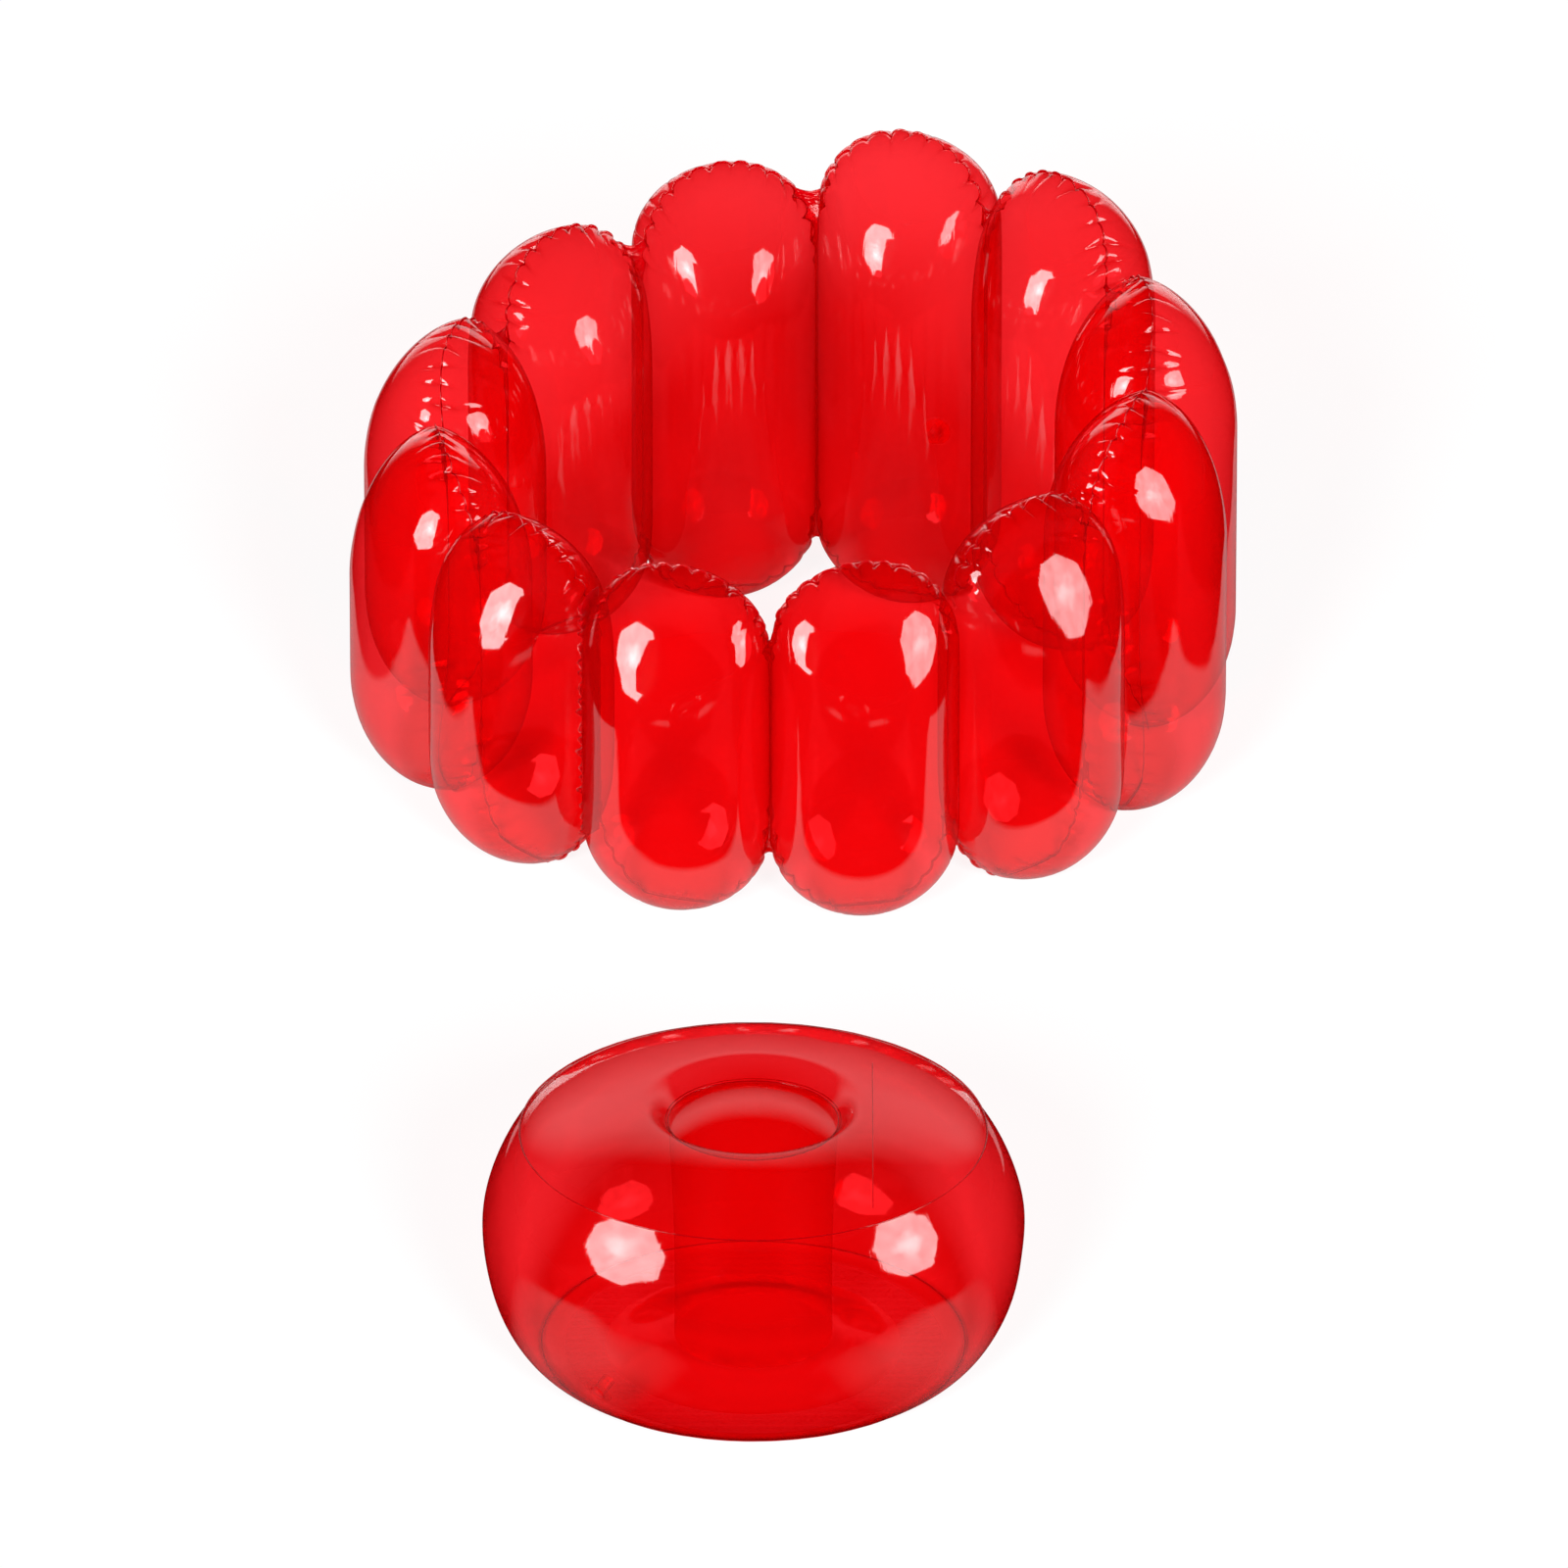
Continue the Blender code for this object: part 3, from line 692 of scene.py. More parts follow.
@dataclass
class AirCell:
    """One air cell: an outer and an inner film panel, welded round their edge and inflated.

    Its grid runs in spokes square to the welded edge round each end and in rows across the
    straight part, so that the puckers lie along the grid.
    """

    number: int
    foot: Vector
    out: Vector
    radius: float
    height: float
    ring_radius: float
    shape_seed: int = 0
    plane_gaps: tuple[float, float] = (0.25 * MM, 0.25 * MM)
    lean: float = math.radians(15)
    half_share: float = math.radians(15)
    crest_taper_share: float = 1.7
    crest_fullness: float = 0.64
    foot_taper_share: float = 1.35
    side_fullness: float = 4.5 * MM
    floor_sink: float = 3 * MM
    top_spokes: int = 170
    foot_spokes: int = 90
    columns: int = 22
    row_step: float = 8 * MM
    pucker_step: float = 26 * MM
    pucker_depth: float = 9.0 * MM
    pucker_sharpness: float = 2.6
    pucker_reach: float = 24 * MM
    step_spread: tuple[float, float] = (0.8, 1.2)
    strength_spread: tuple[float, float] = (0.6, 1.2)
    foot_strength: float = 0.75
    lean_spread: float = 0.22
    bend_spread: float = 0.15
    reach_spread: tuple[float, float] = (0.55, 1.5)
    widening: float = 7 * MM
    fold_sharpness: float = 5.0
    lobe_rise: float = 2.4 * MM
    side_reach: float = 15 * MM
    calm_gather: float = 0.03
    plan: np.ndarray = field(default=None, repr=False)
    points: np.ndarray = field(default=None, repr=False)
    faces: list = field(default_factory=list, repr=False)
    seam: dict = field(default_factory=dict, repr=False)
    girth: np.ndarray = field(default=None, repr=False)
    gathers: np.ndarray = field(default=None, repr=False)
    folds: np.ndarray = field(default=None, repr=False)

    def grid(self) -> None:
        """Lays out both panels on the plan of the cell: across its width and up its height."""
        radius = self.radius
        middles = {End.TOP: self.height - radius, End.FOOT: radius - self.floor_sink}
        spokes = {End.TOP: self.top_spokes, End.FOOT: self.foot_spokes}
        dips = math.pi / 2 * np.linspace(0, 1, self.columns + 1)**1.4
        span = middles[End.TOP] - middles[End.FOOT]
        steps = max(3, round(span / self.row_step))
        heights = np.linspace(middles[End.TOP], middles[End.FOOT], steps + 1)[1:-1]
        plan, numbers, faces = [], {}, []

        def point(key: tuple, panel: Panel, x: float, z: float, along: float, away: float,
                  end: End) -> int:
            """Numbers a point of the plan, once for both panels where it lies on the welded edge."""
            on_seam = key[0] == "seam"
            whole = key if on_seam else (*key, panel)
            if whole not in numbers:
                numbers[whole] = len(plan)
                plan.append((x, z, 0 if on_seam else panel.value, along, away, end.value))
            return numbers[whole]

        for panel in Panel:
            fans = {}
            for end in End:
                fans[end] = []
                for spoke in range(spokes[end] + 1):
                    turn = math.pi * spoke / spokes[end]
                    line = []
                    for column, dip in enumerate(dips):
                        key = ("seam", end, spoke) if column == 0 else (end, spoke, column)
                        key = (end, "pole") if column == self.columns else key
                        line.append(point(key, panel, radius * math.cos(dip) * math.cos(turn),
                                          middles[end] + end.value * radius * math.cos(dip) * math.sin(turn),
                                          radius * turn, radius * dip, end))
                    fans[end].append(line)
            rows = [fans[End.TOP][0] + fans[End.TOP][-1][-2::-1]]
            for index, z in enumerate(heights):
                line = []
                near = End.TOP if z - middles[End.FOOT] > span / 2 else End.FOOT
                past = abs(z - middles[near])
                for side, columns in ((1, range(self.columns + 1)),
                                      (-1, range(self.columns - 1, -1, -1))):
                    for column in columns:
                        key = ("seam", index, side) if column == 0 else (index, side, column)
                        key = (index, "middle") if column == self.columns else key
                        along = -past if side == 1 else math.pi * radius + past
                        line.append(point(key, panel, side * radius * math.cos(dips[column]), z, along,
                                          radius * dips[column], near))
                rows.append(line)
            rows.append(fans[End.FOOT][0] + fans[End.FOOT][-1][-2::-1])
            for lines, flip in ((fans[End.TOP], False), (rows, True), (fans[End.FOOT], True)):
                for one, two in zip(lines, lines[1:]):
                    for i in range(len(one) - 1):
                        corners = list(dict.fromkeys([one[i], one[i + 1], two[i + 1], two[i]]))
                        turned = (panel is Panel.INNER) != flip
                        faces.append(corners[::-1] if turned else corners)
            if panel is Panel.OUTER:
                self.seam = {
                    "top": [line[0] for line in fans[End.TOP]],
                    "foot": [line[0] for line in fans[End.FOOT]],
                    "right": [line[0] for line in rows],
                    "left": [line[-1] for line in rows],
                }
        self.plan = np.array(plan, float)
        self.faces = faces

    def smooth_form(self) -> np.ndarray:
        """Inflates the plan to the cell's smooth form, fuller at its sides than a round tube.

        Returns:
            Across, outward and up for each point.
        """
        x, z, side = self.plan[:, 0], self.plan[:, 1], self.plan[:, 2]
        radius = self.radius
        top, foot = self.height - radius, radius - self.floor_sink
        past = np.maximum(z - top, 0) + np.maximum(foot - z, 0)
        wide = np.sqrt(np.maximum(radius**2 - past**2, 0))
        crest_taper, foot_taper = self.crest_taper_share * radius, self.foot_taper_share * radius
        over = np.maximum(z - (self.height - crest_taper), 0) / crest_taper
        under = np.maximum(foot_taper - self.floor_sink - z, 0) / foot_taper
        thick = radius * np.maximum(1 - over**2, 0)**self.crest_fullness
        thick = thick * np.sqrt(np.maximum(1 - under**2, 0))
        share = np.clip(np.where(wide > 1e-6, x / np.maximum(wide, 1e-6), 0), -1, 1)
        angle = np.arccos(share)
        lean = self.lean * wide / radius
        outer = -lean + angle * (math.pi + 2 * lean) / math.pi
        inner = lean + angle * (math.pi - 2 * lean) / math.pi
        turned = np.where(side >= 0, outer, -inner)
        self.girth = turned * radius
        away = self.plan[:, 4]
        full = self.side_fullness * (1 - np.exp(-(away / self.side_reach)**2)) * np.cos(turned)**2
        full = full * wide / radius
        reach = wide + full
        form = np.stack([reach * np.cos(turned), thick * np.sin(turned), z], axis=1)
        form[wide <= 1e-6, :2] = 0
        return form

    def normals(self, form: np.ndarray) -> np.ndarray:
        """Outward directions at the points of a form, from its faces.

        Args:
            form: Points in the cell's own frame.

        Returns:
            A unit vector for each point.
        """
        corners = np.array([(f[0], f[1], f[2], f[-1]) for f in self.faces])
        a, b, c, d = (form[corners[:, i]] for i in range(4))
        cross = np.cross(c - a, d - b)
        flat = np.linalg.norm(cross, axis=1) < 1e-14
        cross[flat] = np.cross(b[flat] - a[flat], c[flat] - a[flat])
        total = np.zeros_like(form)
        for i in range(4):
            np.add.at(total, corners[:, i], cross)
        return total / np.maximum(np.linalg.norm(total, axis=1), 1e-12)[:, None]

    def gather(self, form: np.ndarray) -> np.ndarray:
        """Draws the welded edge of both ends into puckers, with rounded lobes between them.

        Args:
            form: The smooth form.

        Returns:
            The puckered form.
        """
        along, away, end = self.plan[:, 3], self.plan[:, 4], self.plan[:, 5]
        arc = math.pi * self.radius
        depth, folds = np.zeros(len(form)), np.zeros(len(form))
        for which in End:
            here = np.flatnonzero((end == which.value) & (away < 4 * self.pucker_reach))
            random = np.random.default_rng(977 * self.shape_seed + 7 + which.value)
            places = [-1.6 * self.pucker_step]
            while places[-1] < arc + 1.6 * self.pucker_step:
                places.append(places[-1] + self.pucker_step * random.uniform(*self.step_spread))
            places = np.array(places)
            count = len(places)
            inside = np.clip(np.minimum(places, arc - places) / (0.08 * arc) + 1.0, 0, 1)
            strength = inside * random.uniform(*self.strength_spread, count)
            strength *= 1.0 if which is End.TOP else self.foot_strength
            lean = random.uniform(-self.lean_spread, self.lean_spread, count)
            bend = random.uniform(-self.bend_spread, self.bend_spread, count)
            for panel in Panel:
                reach = self.pucker_reach * random.uniform(*self.reach_spread, count)
                on_panel = here[(self.plan[here, 2] == panel.value) | (self.plan[here, 2] == 0)]
                far, where = away[on_panel], along[on_panel]
                before = np.clip(np.searchsorted(places, where) - 1, 0, count - 2)
                total, doubled = np.zeros(len(on_panel)), np.zeros(len(on_panel))
                span = places[before + 1] - places[before]
                for index, sign in ((before, 1), (before + 1, -1)):
                    shift = panel.value * lean[index] * far + bend[index] * far**2 / reach[index]
                    share = np.clip(1 - np.abs(where - places[index] - shift) / (0.5 * span), 0, 1)
                    fold = share**(self.pucker_sharpness + far / self.widening)
                    total += strength[index] * fold * np.exp(-(far / reach[index])**1.5)
                    # Each crease's darker tint: doubled film, and painted shade in the fold
                    crease = share**self.fold_sharpness * np.exp(-(far / reach[index])**2)
                    doubled += strength[index] * crease
                depth[on_panel] = total * self.pucker_depth
                folds[on_panel] = doubled
        lobes = self.lobe_rise * np.exp(-(away / (0.8 * self.pucker_reach))**2)
        in_arc = np.clip(np.minimum(along, arc - along) / (0.12 * arc), 0, 1)
        moved = form + self.normals(form) * (lobes * in_arc - depth)[:, None]
        # Fine creases run down both sides, below the crest's shoulders
        down = self.height - self.plan[:, 1]
        band = np.clip((down - 0.7 * self.radius) / (0.4 * self.radius), 0, 1)
        band *= np.clip((2.3 * self.radius - down) / (0.9 * self.radius), 0, 1)
        sideways = np.clip(1.15 - away / (0.8 * self.radius), 0, 1)
        self.gathers = self.calm_gather + band * (0.06 + 0.94 * sideways)
        self.folds = np.clip(folds, 0, 1)
        return moved

    def contain(self, form: np.ndarray) -> np.ndarray:
        """Flattens a form where it meets the floor and its neighbours.

        Args:
            form: Points in the cell's own frame.

        Returns:
            The points, none below the floor or past the planes between the cells.
        """
        form = form.copy()
        form[:, 2] = np.clip(form[:, 2], 0, self.height + 2 * MM)
        for side, gap in zip((1, -1), self.plane_gaps):
            normal = np.array([side * math.cos(self.half_share), -math.sin(self.half_share), 0])
            past = form @ normal - self.ring_radius * math.sin(self.half_share) + gap
            form -= np.maximum(past, 0)[:, None] * normal
        return form

    def inflate(self, form: np.ndarray, air: "Inflation") -> np.ndarray:
        """Blows the puckered film up as cloth, its welded edge held.

        Args:
            form: The puckered form.
            air: How the film is blown up.

        Returns:
            The form after the simulation.
        """
        mesh = bpy.data.meshes.new("inflating")
        mesh.from_pydata(form.tolist(), [], self.faces)
        piece = bpy.data.objects.new("inflating", mesh)
        bpy.context.scene.collection.objects.link(piece)
        held = piece.vertex_groups.new(name="held")
        held.add([int(i) for i in np.flatnonzero(self.plan[:, 2] == 0)], 1.0, "REPLACE")
        blown = air.run(piece)
        bpy.data.objects.remove(piece)
        bpy.data.meshes.remove(mesh)
        return blown

    def form(self, air: "Inflation | None") -> None:
        """Works out the cell's film from its plan.

        Args:
            air: How the film is blown up, or None to leave the simulation out.
        """
        self.grid()
        points = self.contain(self.gather(self.smooth_form()))
        if air is not None:
            points = self.contain(self.inflate(points, air))
        self.points = points

    def copy_form(self, other: "AirCell") -> None:
        """Takes the mirrored form of a cell of the same height.

        Args:
            other: The cell that has been formed.
        """
        self.plan = other.plan
        self.seam = {
            "top": other.seam["top"][::-1], "foot": other.seam["foot"][::-1],
            "right": other.seam["left"], "left": other.seam["right"],
        }
        self.faces = [face[::-1] for face in other.faces]
        self.girth, self.gathers, self.folds = -other.girth, other.gathers, other.folds
        self.points = self.contain(other.points * (-1, 1, 1))

    def world(self, local: np.ndarray) -> np.ndarray:
        """Puts points of the cell's own frame in their place in the ring.

        Args:
            local: Across, outward and up, one row each.

        Returns:
            World positions.
        """
        across = Vector((0, 0, 1)).cross(self.out)
        axes = np.array([across, self.out, Vector((0, 0, 1))])
        return local @ axes + np.array(self.foot)

    def build(self, material: bpy.types.Material) -> bpy.types.Object:
        """Makes the bladder as one closed mesh.

        Args:
            material: The film's finish.

        Returns:
            The piece.
        """
        piece = add_mesh(f"cell_{self.number:02d}_bladder", self.world(self.points), self.faces, material)
        # Each cell's streaks start elsewhere on the roll of film
        uv = np.stack([self.girth + 0.37 * self.number, self.points[:, 2]], axis=1)
        dress_mesh(piece.data, uv, self.gathers, self.folds)
        return piece


@dataclass(frozen=True)
class Inflation:
    """Cloth settings that blow a bladder up from its puckered start."""

    frames: int = 8
    pressure: float = 30.0
    quality: int = 6
    mass: float = 0.15
    stretch: float = 40.0
    shear: float = 15.0
    bending: float = 0.2
    air_damping: float = 4.0
    stretch_damping: float = 8.0
    shear_damping: float = 5.0
    bending_damping: float = 0.5

    def run(self, piece: bpy.types.Object) -> np.ndarray:
        """Simulates a piece and takes its last shape.

        Args:
            piece: A mesh with a vertex group named held.

        Returns:
            The points' places at the end.
        """
        modifier = piece.modifiers.new("inflation", "CLOTH")
        cloth = modifier.settings
        cloth.quality, cloth.mass, cloth.air_damping = self.quality, self.mass, self.air_damping
        cloth.tension_stiffness = cloth.compression_stiffness = self.stretch
        cloth.shear_stiffness, cloth.bending_stiffness = self.shear, self.bending
        cloth.tension_damping = cloth.compression_damping = self.stretch_damping
        cloth.shear_damping, cloth.bending_damping = self.shear_damping, self.bending_damping
        cloth.use_pressure, cloth.uniform_pressure_force = True, self.pressure
        cloth.vertex_group_mass = "held"
        cloth.effector_weights.gravity = 0.0
        modifier.collision_settings.use_collision = False
        modifier.collision_settings.use_self_collision = False
        modifier.point_cache.frame_start, modifier.point_cache.frame_end = 1, self.frames
        scene = bpy.context.scene
        for frame_number in range(1, self.frames + 1):
            scene.frame_set(frame_number)
        settled = piece.evaluated_get(bpy.context.evaluated_depsgraph_get()).data
        places = np.zeros(3 * len(settled.vertices))
        settled.vertices.foreach_get("co", places)
        piece.modifiers.remove(modifier)
        scene.frame_set(1)
        return places.reshape(-1, 3)


@dataclass
class Ribbon:
    """Geometry nodes that sweep a thin welded lip along the path of a seam."""

    name: str
    material: bpy.types.Material
    waver_size: float = 14 * MM
    seed_step: float = 3.7
    tree: bpy.types.NodeTree = field(init=False, repr=False)
    sockets: dict[str, str] = field(init=False, default_factory=dict, repr=False)

    def __post_init__(self) -> None:
        """Builds the node tree once for every lip of one finish."""
        tree = bpy.data.node_groups.new(self.name, "GeometryNodeTree")
        tree.interface.new_socket("Geometry", in_out="INPUT", socket_type="NodeSocketGeometry")
        for label, value in (("Width", 3 * MM), ("Thickness", 0.8 * MM), ("Waver", 0.8 * MM)):
            socket = tree.interface.new_socket(label, in_out="INPUT", socket_type="NodeSocketFloat")
            socket.default_value = value
            self.sockets[label] = socket.identifier
        socket = tree.interface.new_socket("Seed", in_out="INPUT", socket_type="NodeSocketInt")
        self.sockets["Seed"] = socket.identifier
        tree.interface.new_socket("Geometry", in_out="OUTPUT", socket_type="NodeSocketGeometry")
        given = add_node(tree, "NodeGroupInput").outputs
        path = add_node(tree, "GeometryNodeMeshToCurve", {"Mesh": given["Geometry"]})
        outward = add_node(tree, "GeometryNodeInputNamedAttribute", {"Name": "outward"},
                           data_type="FLOAT_VECTOR")
        upright = add_node(tree, "GeometryNodeSetCurveNormal", {
            "Curve": path.outputs["Curve"], "Normal": outward.outputs["Attribute"],
        }, mode="FREE")
        profile = add_node(tree, "GeometryNodeCurvePrimitiveQuadrilateral", {
            "Width": given["Width"], "Height": given["Thickness"],
        })
        half = add_node(tree, "ShaderNodeMath", {0: given["Width"], 1: 0.5}, operation="MULTIPLY")
        shift = add_node(tree, "ShaderNodeCombineXYZ", {"X": half.outputs["Value"]})
        moved = add_node(tree, "GeometryNodeTransform", {
            "Geometry": profile.outputs["Curve"], "Translation": shift.outputs["Vector"],
        })
        swept = add_node(tree, "GeometryNodeCurveToMesh", {
            "Curve": upright.outputs["Curve"], "Profile Curve": moved.outputs["Geometry"], "Fill Caps": True,
        })
        drift = add_node(tree, "ShaderNodeMath", {0: given["Seed"], 1: self.seed_step}, operation="MULTIPLY")
        noise = add_node(tree, "ShaderNodeTexNoise", {
            "W": drift.outputs["Value"], "Scale": 1 / self.waver_size, "Detail": 1.0,
            "Vector": add_node(tree, "GeometryNodeInputPosition").outputs["Position"],
        }, noise_dimensions="4D")
        centred = add_node(tree, "ShaderNodeVectorMath", {
            0: noise.outputs["Color"], 1: (0.5, 0.5, 0.5),
        }, operation="SUBTRACT")
        waver = add_node(tree, "ShaderNodeVectorMath", {
            0: centred.outputs["Vector"], "Scale": given["Waver"],
        }, operation="SCALE")
        wavy = add_node(tree, "GeometryNodeSetPosition", {
            "Geometry": swept.outputs["Mesh"], "Offset": waver.outputs["Vector"],
        })
        real = add_node(tree, "GeometryNodeRealizeInstances", {"Geometry": wavy.outputs["Geometry"]})
        coated = add_node(tree, "GeometryNodeSetMaterial", {
            "Geometry": real.outputs["Geometry"], "Material": self.material,
        })
        add_node(tree, "NodeGroupOutput", {"Geometry": coated.outputs["Geometry"]})
        self.tree = tree

    def sweep(self, name: str, path: np.ndarray, outward: np.ndarray, closed: bool = False,
              **sizes: float) -> bpy.types.Object:
        """Sweeps one lip.

        Args:
            name: The piece's name.
            path: World positions along the seam.
            outward: The way the lip stands at each of them.
            closed: Whether the path comes back to its start.
            sizes: Width, Thickness, Waver and Seed, where they differ from the tree's own.

        Returns:
            The piece, with its modifier applied.
        """
        count = len(path)
        mesh = bpy.data.meshes.new(name + "_path")
        edges = [(i, i + 1) for i in range(count - 1)] + ([(count - 1, 0)] if closed else [])
        mesh.from_pydata(path.tolist(), edges, [])
        layer = mesh.attributes.new("outward", "FLOAT_VECTOR", "POINT")
        layer.data.foreach_set("vector", outward.astype(np.float32).ravel())
        guide = bpy.data.objects.new(name + "_guide", mesh)
        bpy.context.scene.collection.objects.link(guide)
        modifier = guide.modifiers.new("ribbon", "NODES")
        modifier.node_group = self.tree
        for label, value in sizes.items():
            modifier[self.sockets[label]] = value
        evaluated = guide.evaluated_get(bpy.context.evaluated_depsgraph_get())
        swept = bpy.data.meshes.new_from_object(evaluated)
        guide.modifiers.remove(modifier)
        bpy.data.objects.remove(guide)
        bpy.data.meshes.remove(mesh)
        swept.name = name
        swept.shade_smooth()
        piece = bpy.data.objects.new(name, swept)
        bpy.context.scene.collection.objects.link(piece)
        return piece


def side_path(cell: AirCell, side: str) -> np.ndarray:
    """World positions down one side of a cell's welded edge, from its crest to its foot.

    Args:
        cell: The cell.
        side: left or right.

    Returns:
        One row for each point, falling in height.
    """
    top, foot = cell.seam["top"], cell.seam["foot"]
    half_top, half_foot = len(top) // 2, len(foot) // 2
    if side == "right":
        ids = top[:half_top][::-1] + cell.seam["right"][1:-1] + foot[:half_foot]
    else:
        ids = top[half_top:] + cell.seam["left"][1:-1] + foot[half_foot:][::-1]
    path = cell.world(cell.points[ids])
    keep = path[:, 2] <= np.minimum.accumulate(path[:, 2])
    return path[keep]


def at_heights(path: np.ndarray, heights: np.ndarray) -> np.ndarray:
    """Points of a falling path at given heights.

    Args:
        path: World positions, falling in height.
        heights: Where the points are wanted.

    Returns:
        One row for each height.
    """
    rising = path[::-1]
    return np.stack([np.interp(heights, rising[:, 2], rising[:, i]) for i in (0, 1)] + [heights], axis=1)


def grid_faces(rows: int, columns: int) -> list:
    """Faces of a grid whose points run row by row.

    Args:
        rows: Rows of points.
        columns: Points in each row.

    Returns:
        Point numbers of each face.
    """
    return [(r * columns + c, r * columns + c + 1, (r + 1) * columns + c + 1, (r + 1) * columns + c)
            for r in range(rows - 1) for c in range(columns - 1)]


def thicken(piece: bpy.types.Object, thickness: float) -> None:
    """Gives a sheet its thickness, half to each side.

    Args:
        piece: A single sheet.
        thickness: How thick it becomes.
    """
    modifier = piece.modifiers.new("thickness", "SOLIDIFY")
    modifier.thickness, modifier.offset = thickness, 0.0
    evaluated = piece.evaluated_get(bpy.context.evaluated_depsgraph_get())
    thick = bpy.data.meshes.new_from_object(evaluated)
    piece.modifiers.remove(modifier)
    thin, piece.data = piece.data, thick
    bpy.data.meshes.remove(thin)
    piece.data.name = piece.name
    piece.data.shade_smooth()


@dataclass
class Weld:
    """The flat weld between two neighbouring cells, with a ruffled web in its top notch."""

    name: str
    left_path: np.ndarray
    right_path: np.ndarray
    out: np.ndarray
    seed: int
    notch_gap: float = 28 * MM
    foot_gap: float = 18 * MM
    rows: int = 130
    columns: int = 13
    thickness: float = 0.8 * MM
    clearance: float = 0.25 * MM
    ruffle: float = 3.2 * MM
    waves: int = 5
    top_ruffle_reach: float = 22 * MM
    foot_ruffle_reach: float = 14 * MM
    sag: float = 5.5 * MM
    top_sag_reach: float = 9 * MM
    foot_sag_reach: float = 7 * MM
    foot_share: float = 0.7
    wall: float = 1.2 * MM

    def heights(self) -> np.ndarray:
        """Heights from the foot notch to the top notch, finest near both."""
        low = max(self.left_path[:, 2].min(), self.right_path[:, 2].min())
        high = min(self.left_path[:, 2].max(), self.right_path[:, 2].max())
        tries = np.linspace(low, high, 400)
        gap = np.linalg.norm(at_heights(self.left_path, tries) - at_heights(self.right_path, tries), axis=1)
        middle = int(np.argmin(gap))
        top = tries[middle + int(np.argmax(np.append(gap[middle:], 1.0) > self.notch_gap)) - 1]
        foot = tries[middle - int(np.argmax(np.append(gap[middle::-1], 1.0) > self.foot_gap)) + 1]
        share = np.linspace(0, 1, self.rows)
        return foot + (top - foot) * (share - 0.11 * np.sin(2 * math.pi * share))

    def build(self, material: bpy.types.Material) -> bpy.types.Object:
        """Makes the weld.

        Args:
            material: The welds' finish.

        Returns:
            The piece.
        """
        heights = self.heights()
        random = np.random.default_rng(41 * self.seed)
        one, two = at_heights(self.left_path, heights), at_heights(self.right_path, heights)
        gap = np.linalg.norm(two - one, axis=1)[:, None]
        way = (two - one) / gap
        one, two = one + way * self.clearance, two - way * self.clearance
        share = np.linspace(0, 1, self.columns)
        points = one[:, None] + (two - one)[:, None] * share[None, :, None]
        top_reach = np.exp(-(heights[-1] - heights) / self.top_ruffle_reach)
        foot_reach = self.foot_share * np.exp(-(heights - heights[0]) / self.foot_ruffle_reach)
        lift = np.zeros((self.rows, self.columns))
        for _ in range(self.waves):
            pitch, phase = random.uniform(5, 13) * MM, random.uniform(0, 7)
            fan = random.uniform(-1.5, 1.5)
            lift += random.uniform(0.3, 1.0) * np.sin(
                2 * math.pi * heights[:, None] / pitch + phase + fan * (share[None] - 0.5) * 4)
        lift *= self.ruffle / 2.6 * (top_reach + foot_reach)[:, None] * np.sin(math.pi * share)[None]
        room = np.clip(gap / 2 - self.wall, 0, None)
        lift = np.clip(lift, -room, room)
        points += lift[..., None] * self.out
        sag = np.exp(-(heights[-1] - heights) / self.top_sag_reach)
        sag -= np.exp(-(heights - heights[0]) / self.foot_sag_reach) * self.foot_share
        points[..., 2] -= self.sag * sag[:, None] * np.sin(math.pi * share)[None]**1.2
        piece = add_mesh(self.name, points.reshape(-1, 3), grid_faces(self.rows, self.columns), material)
        thicken(piece, self.thickness)
        return piece


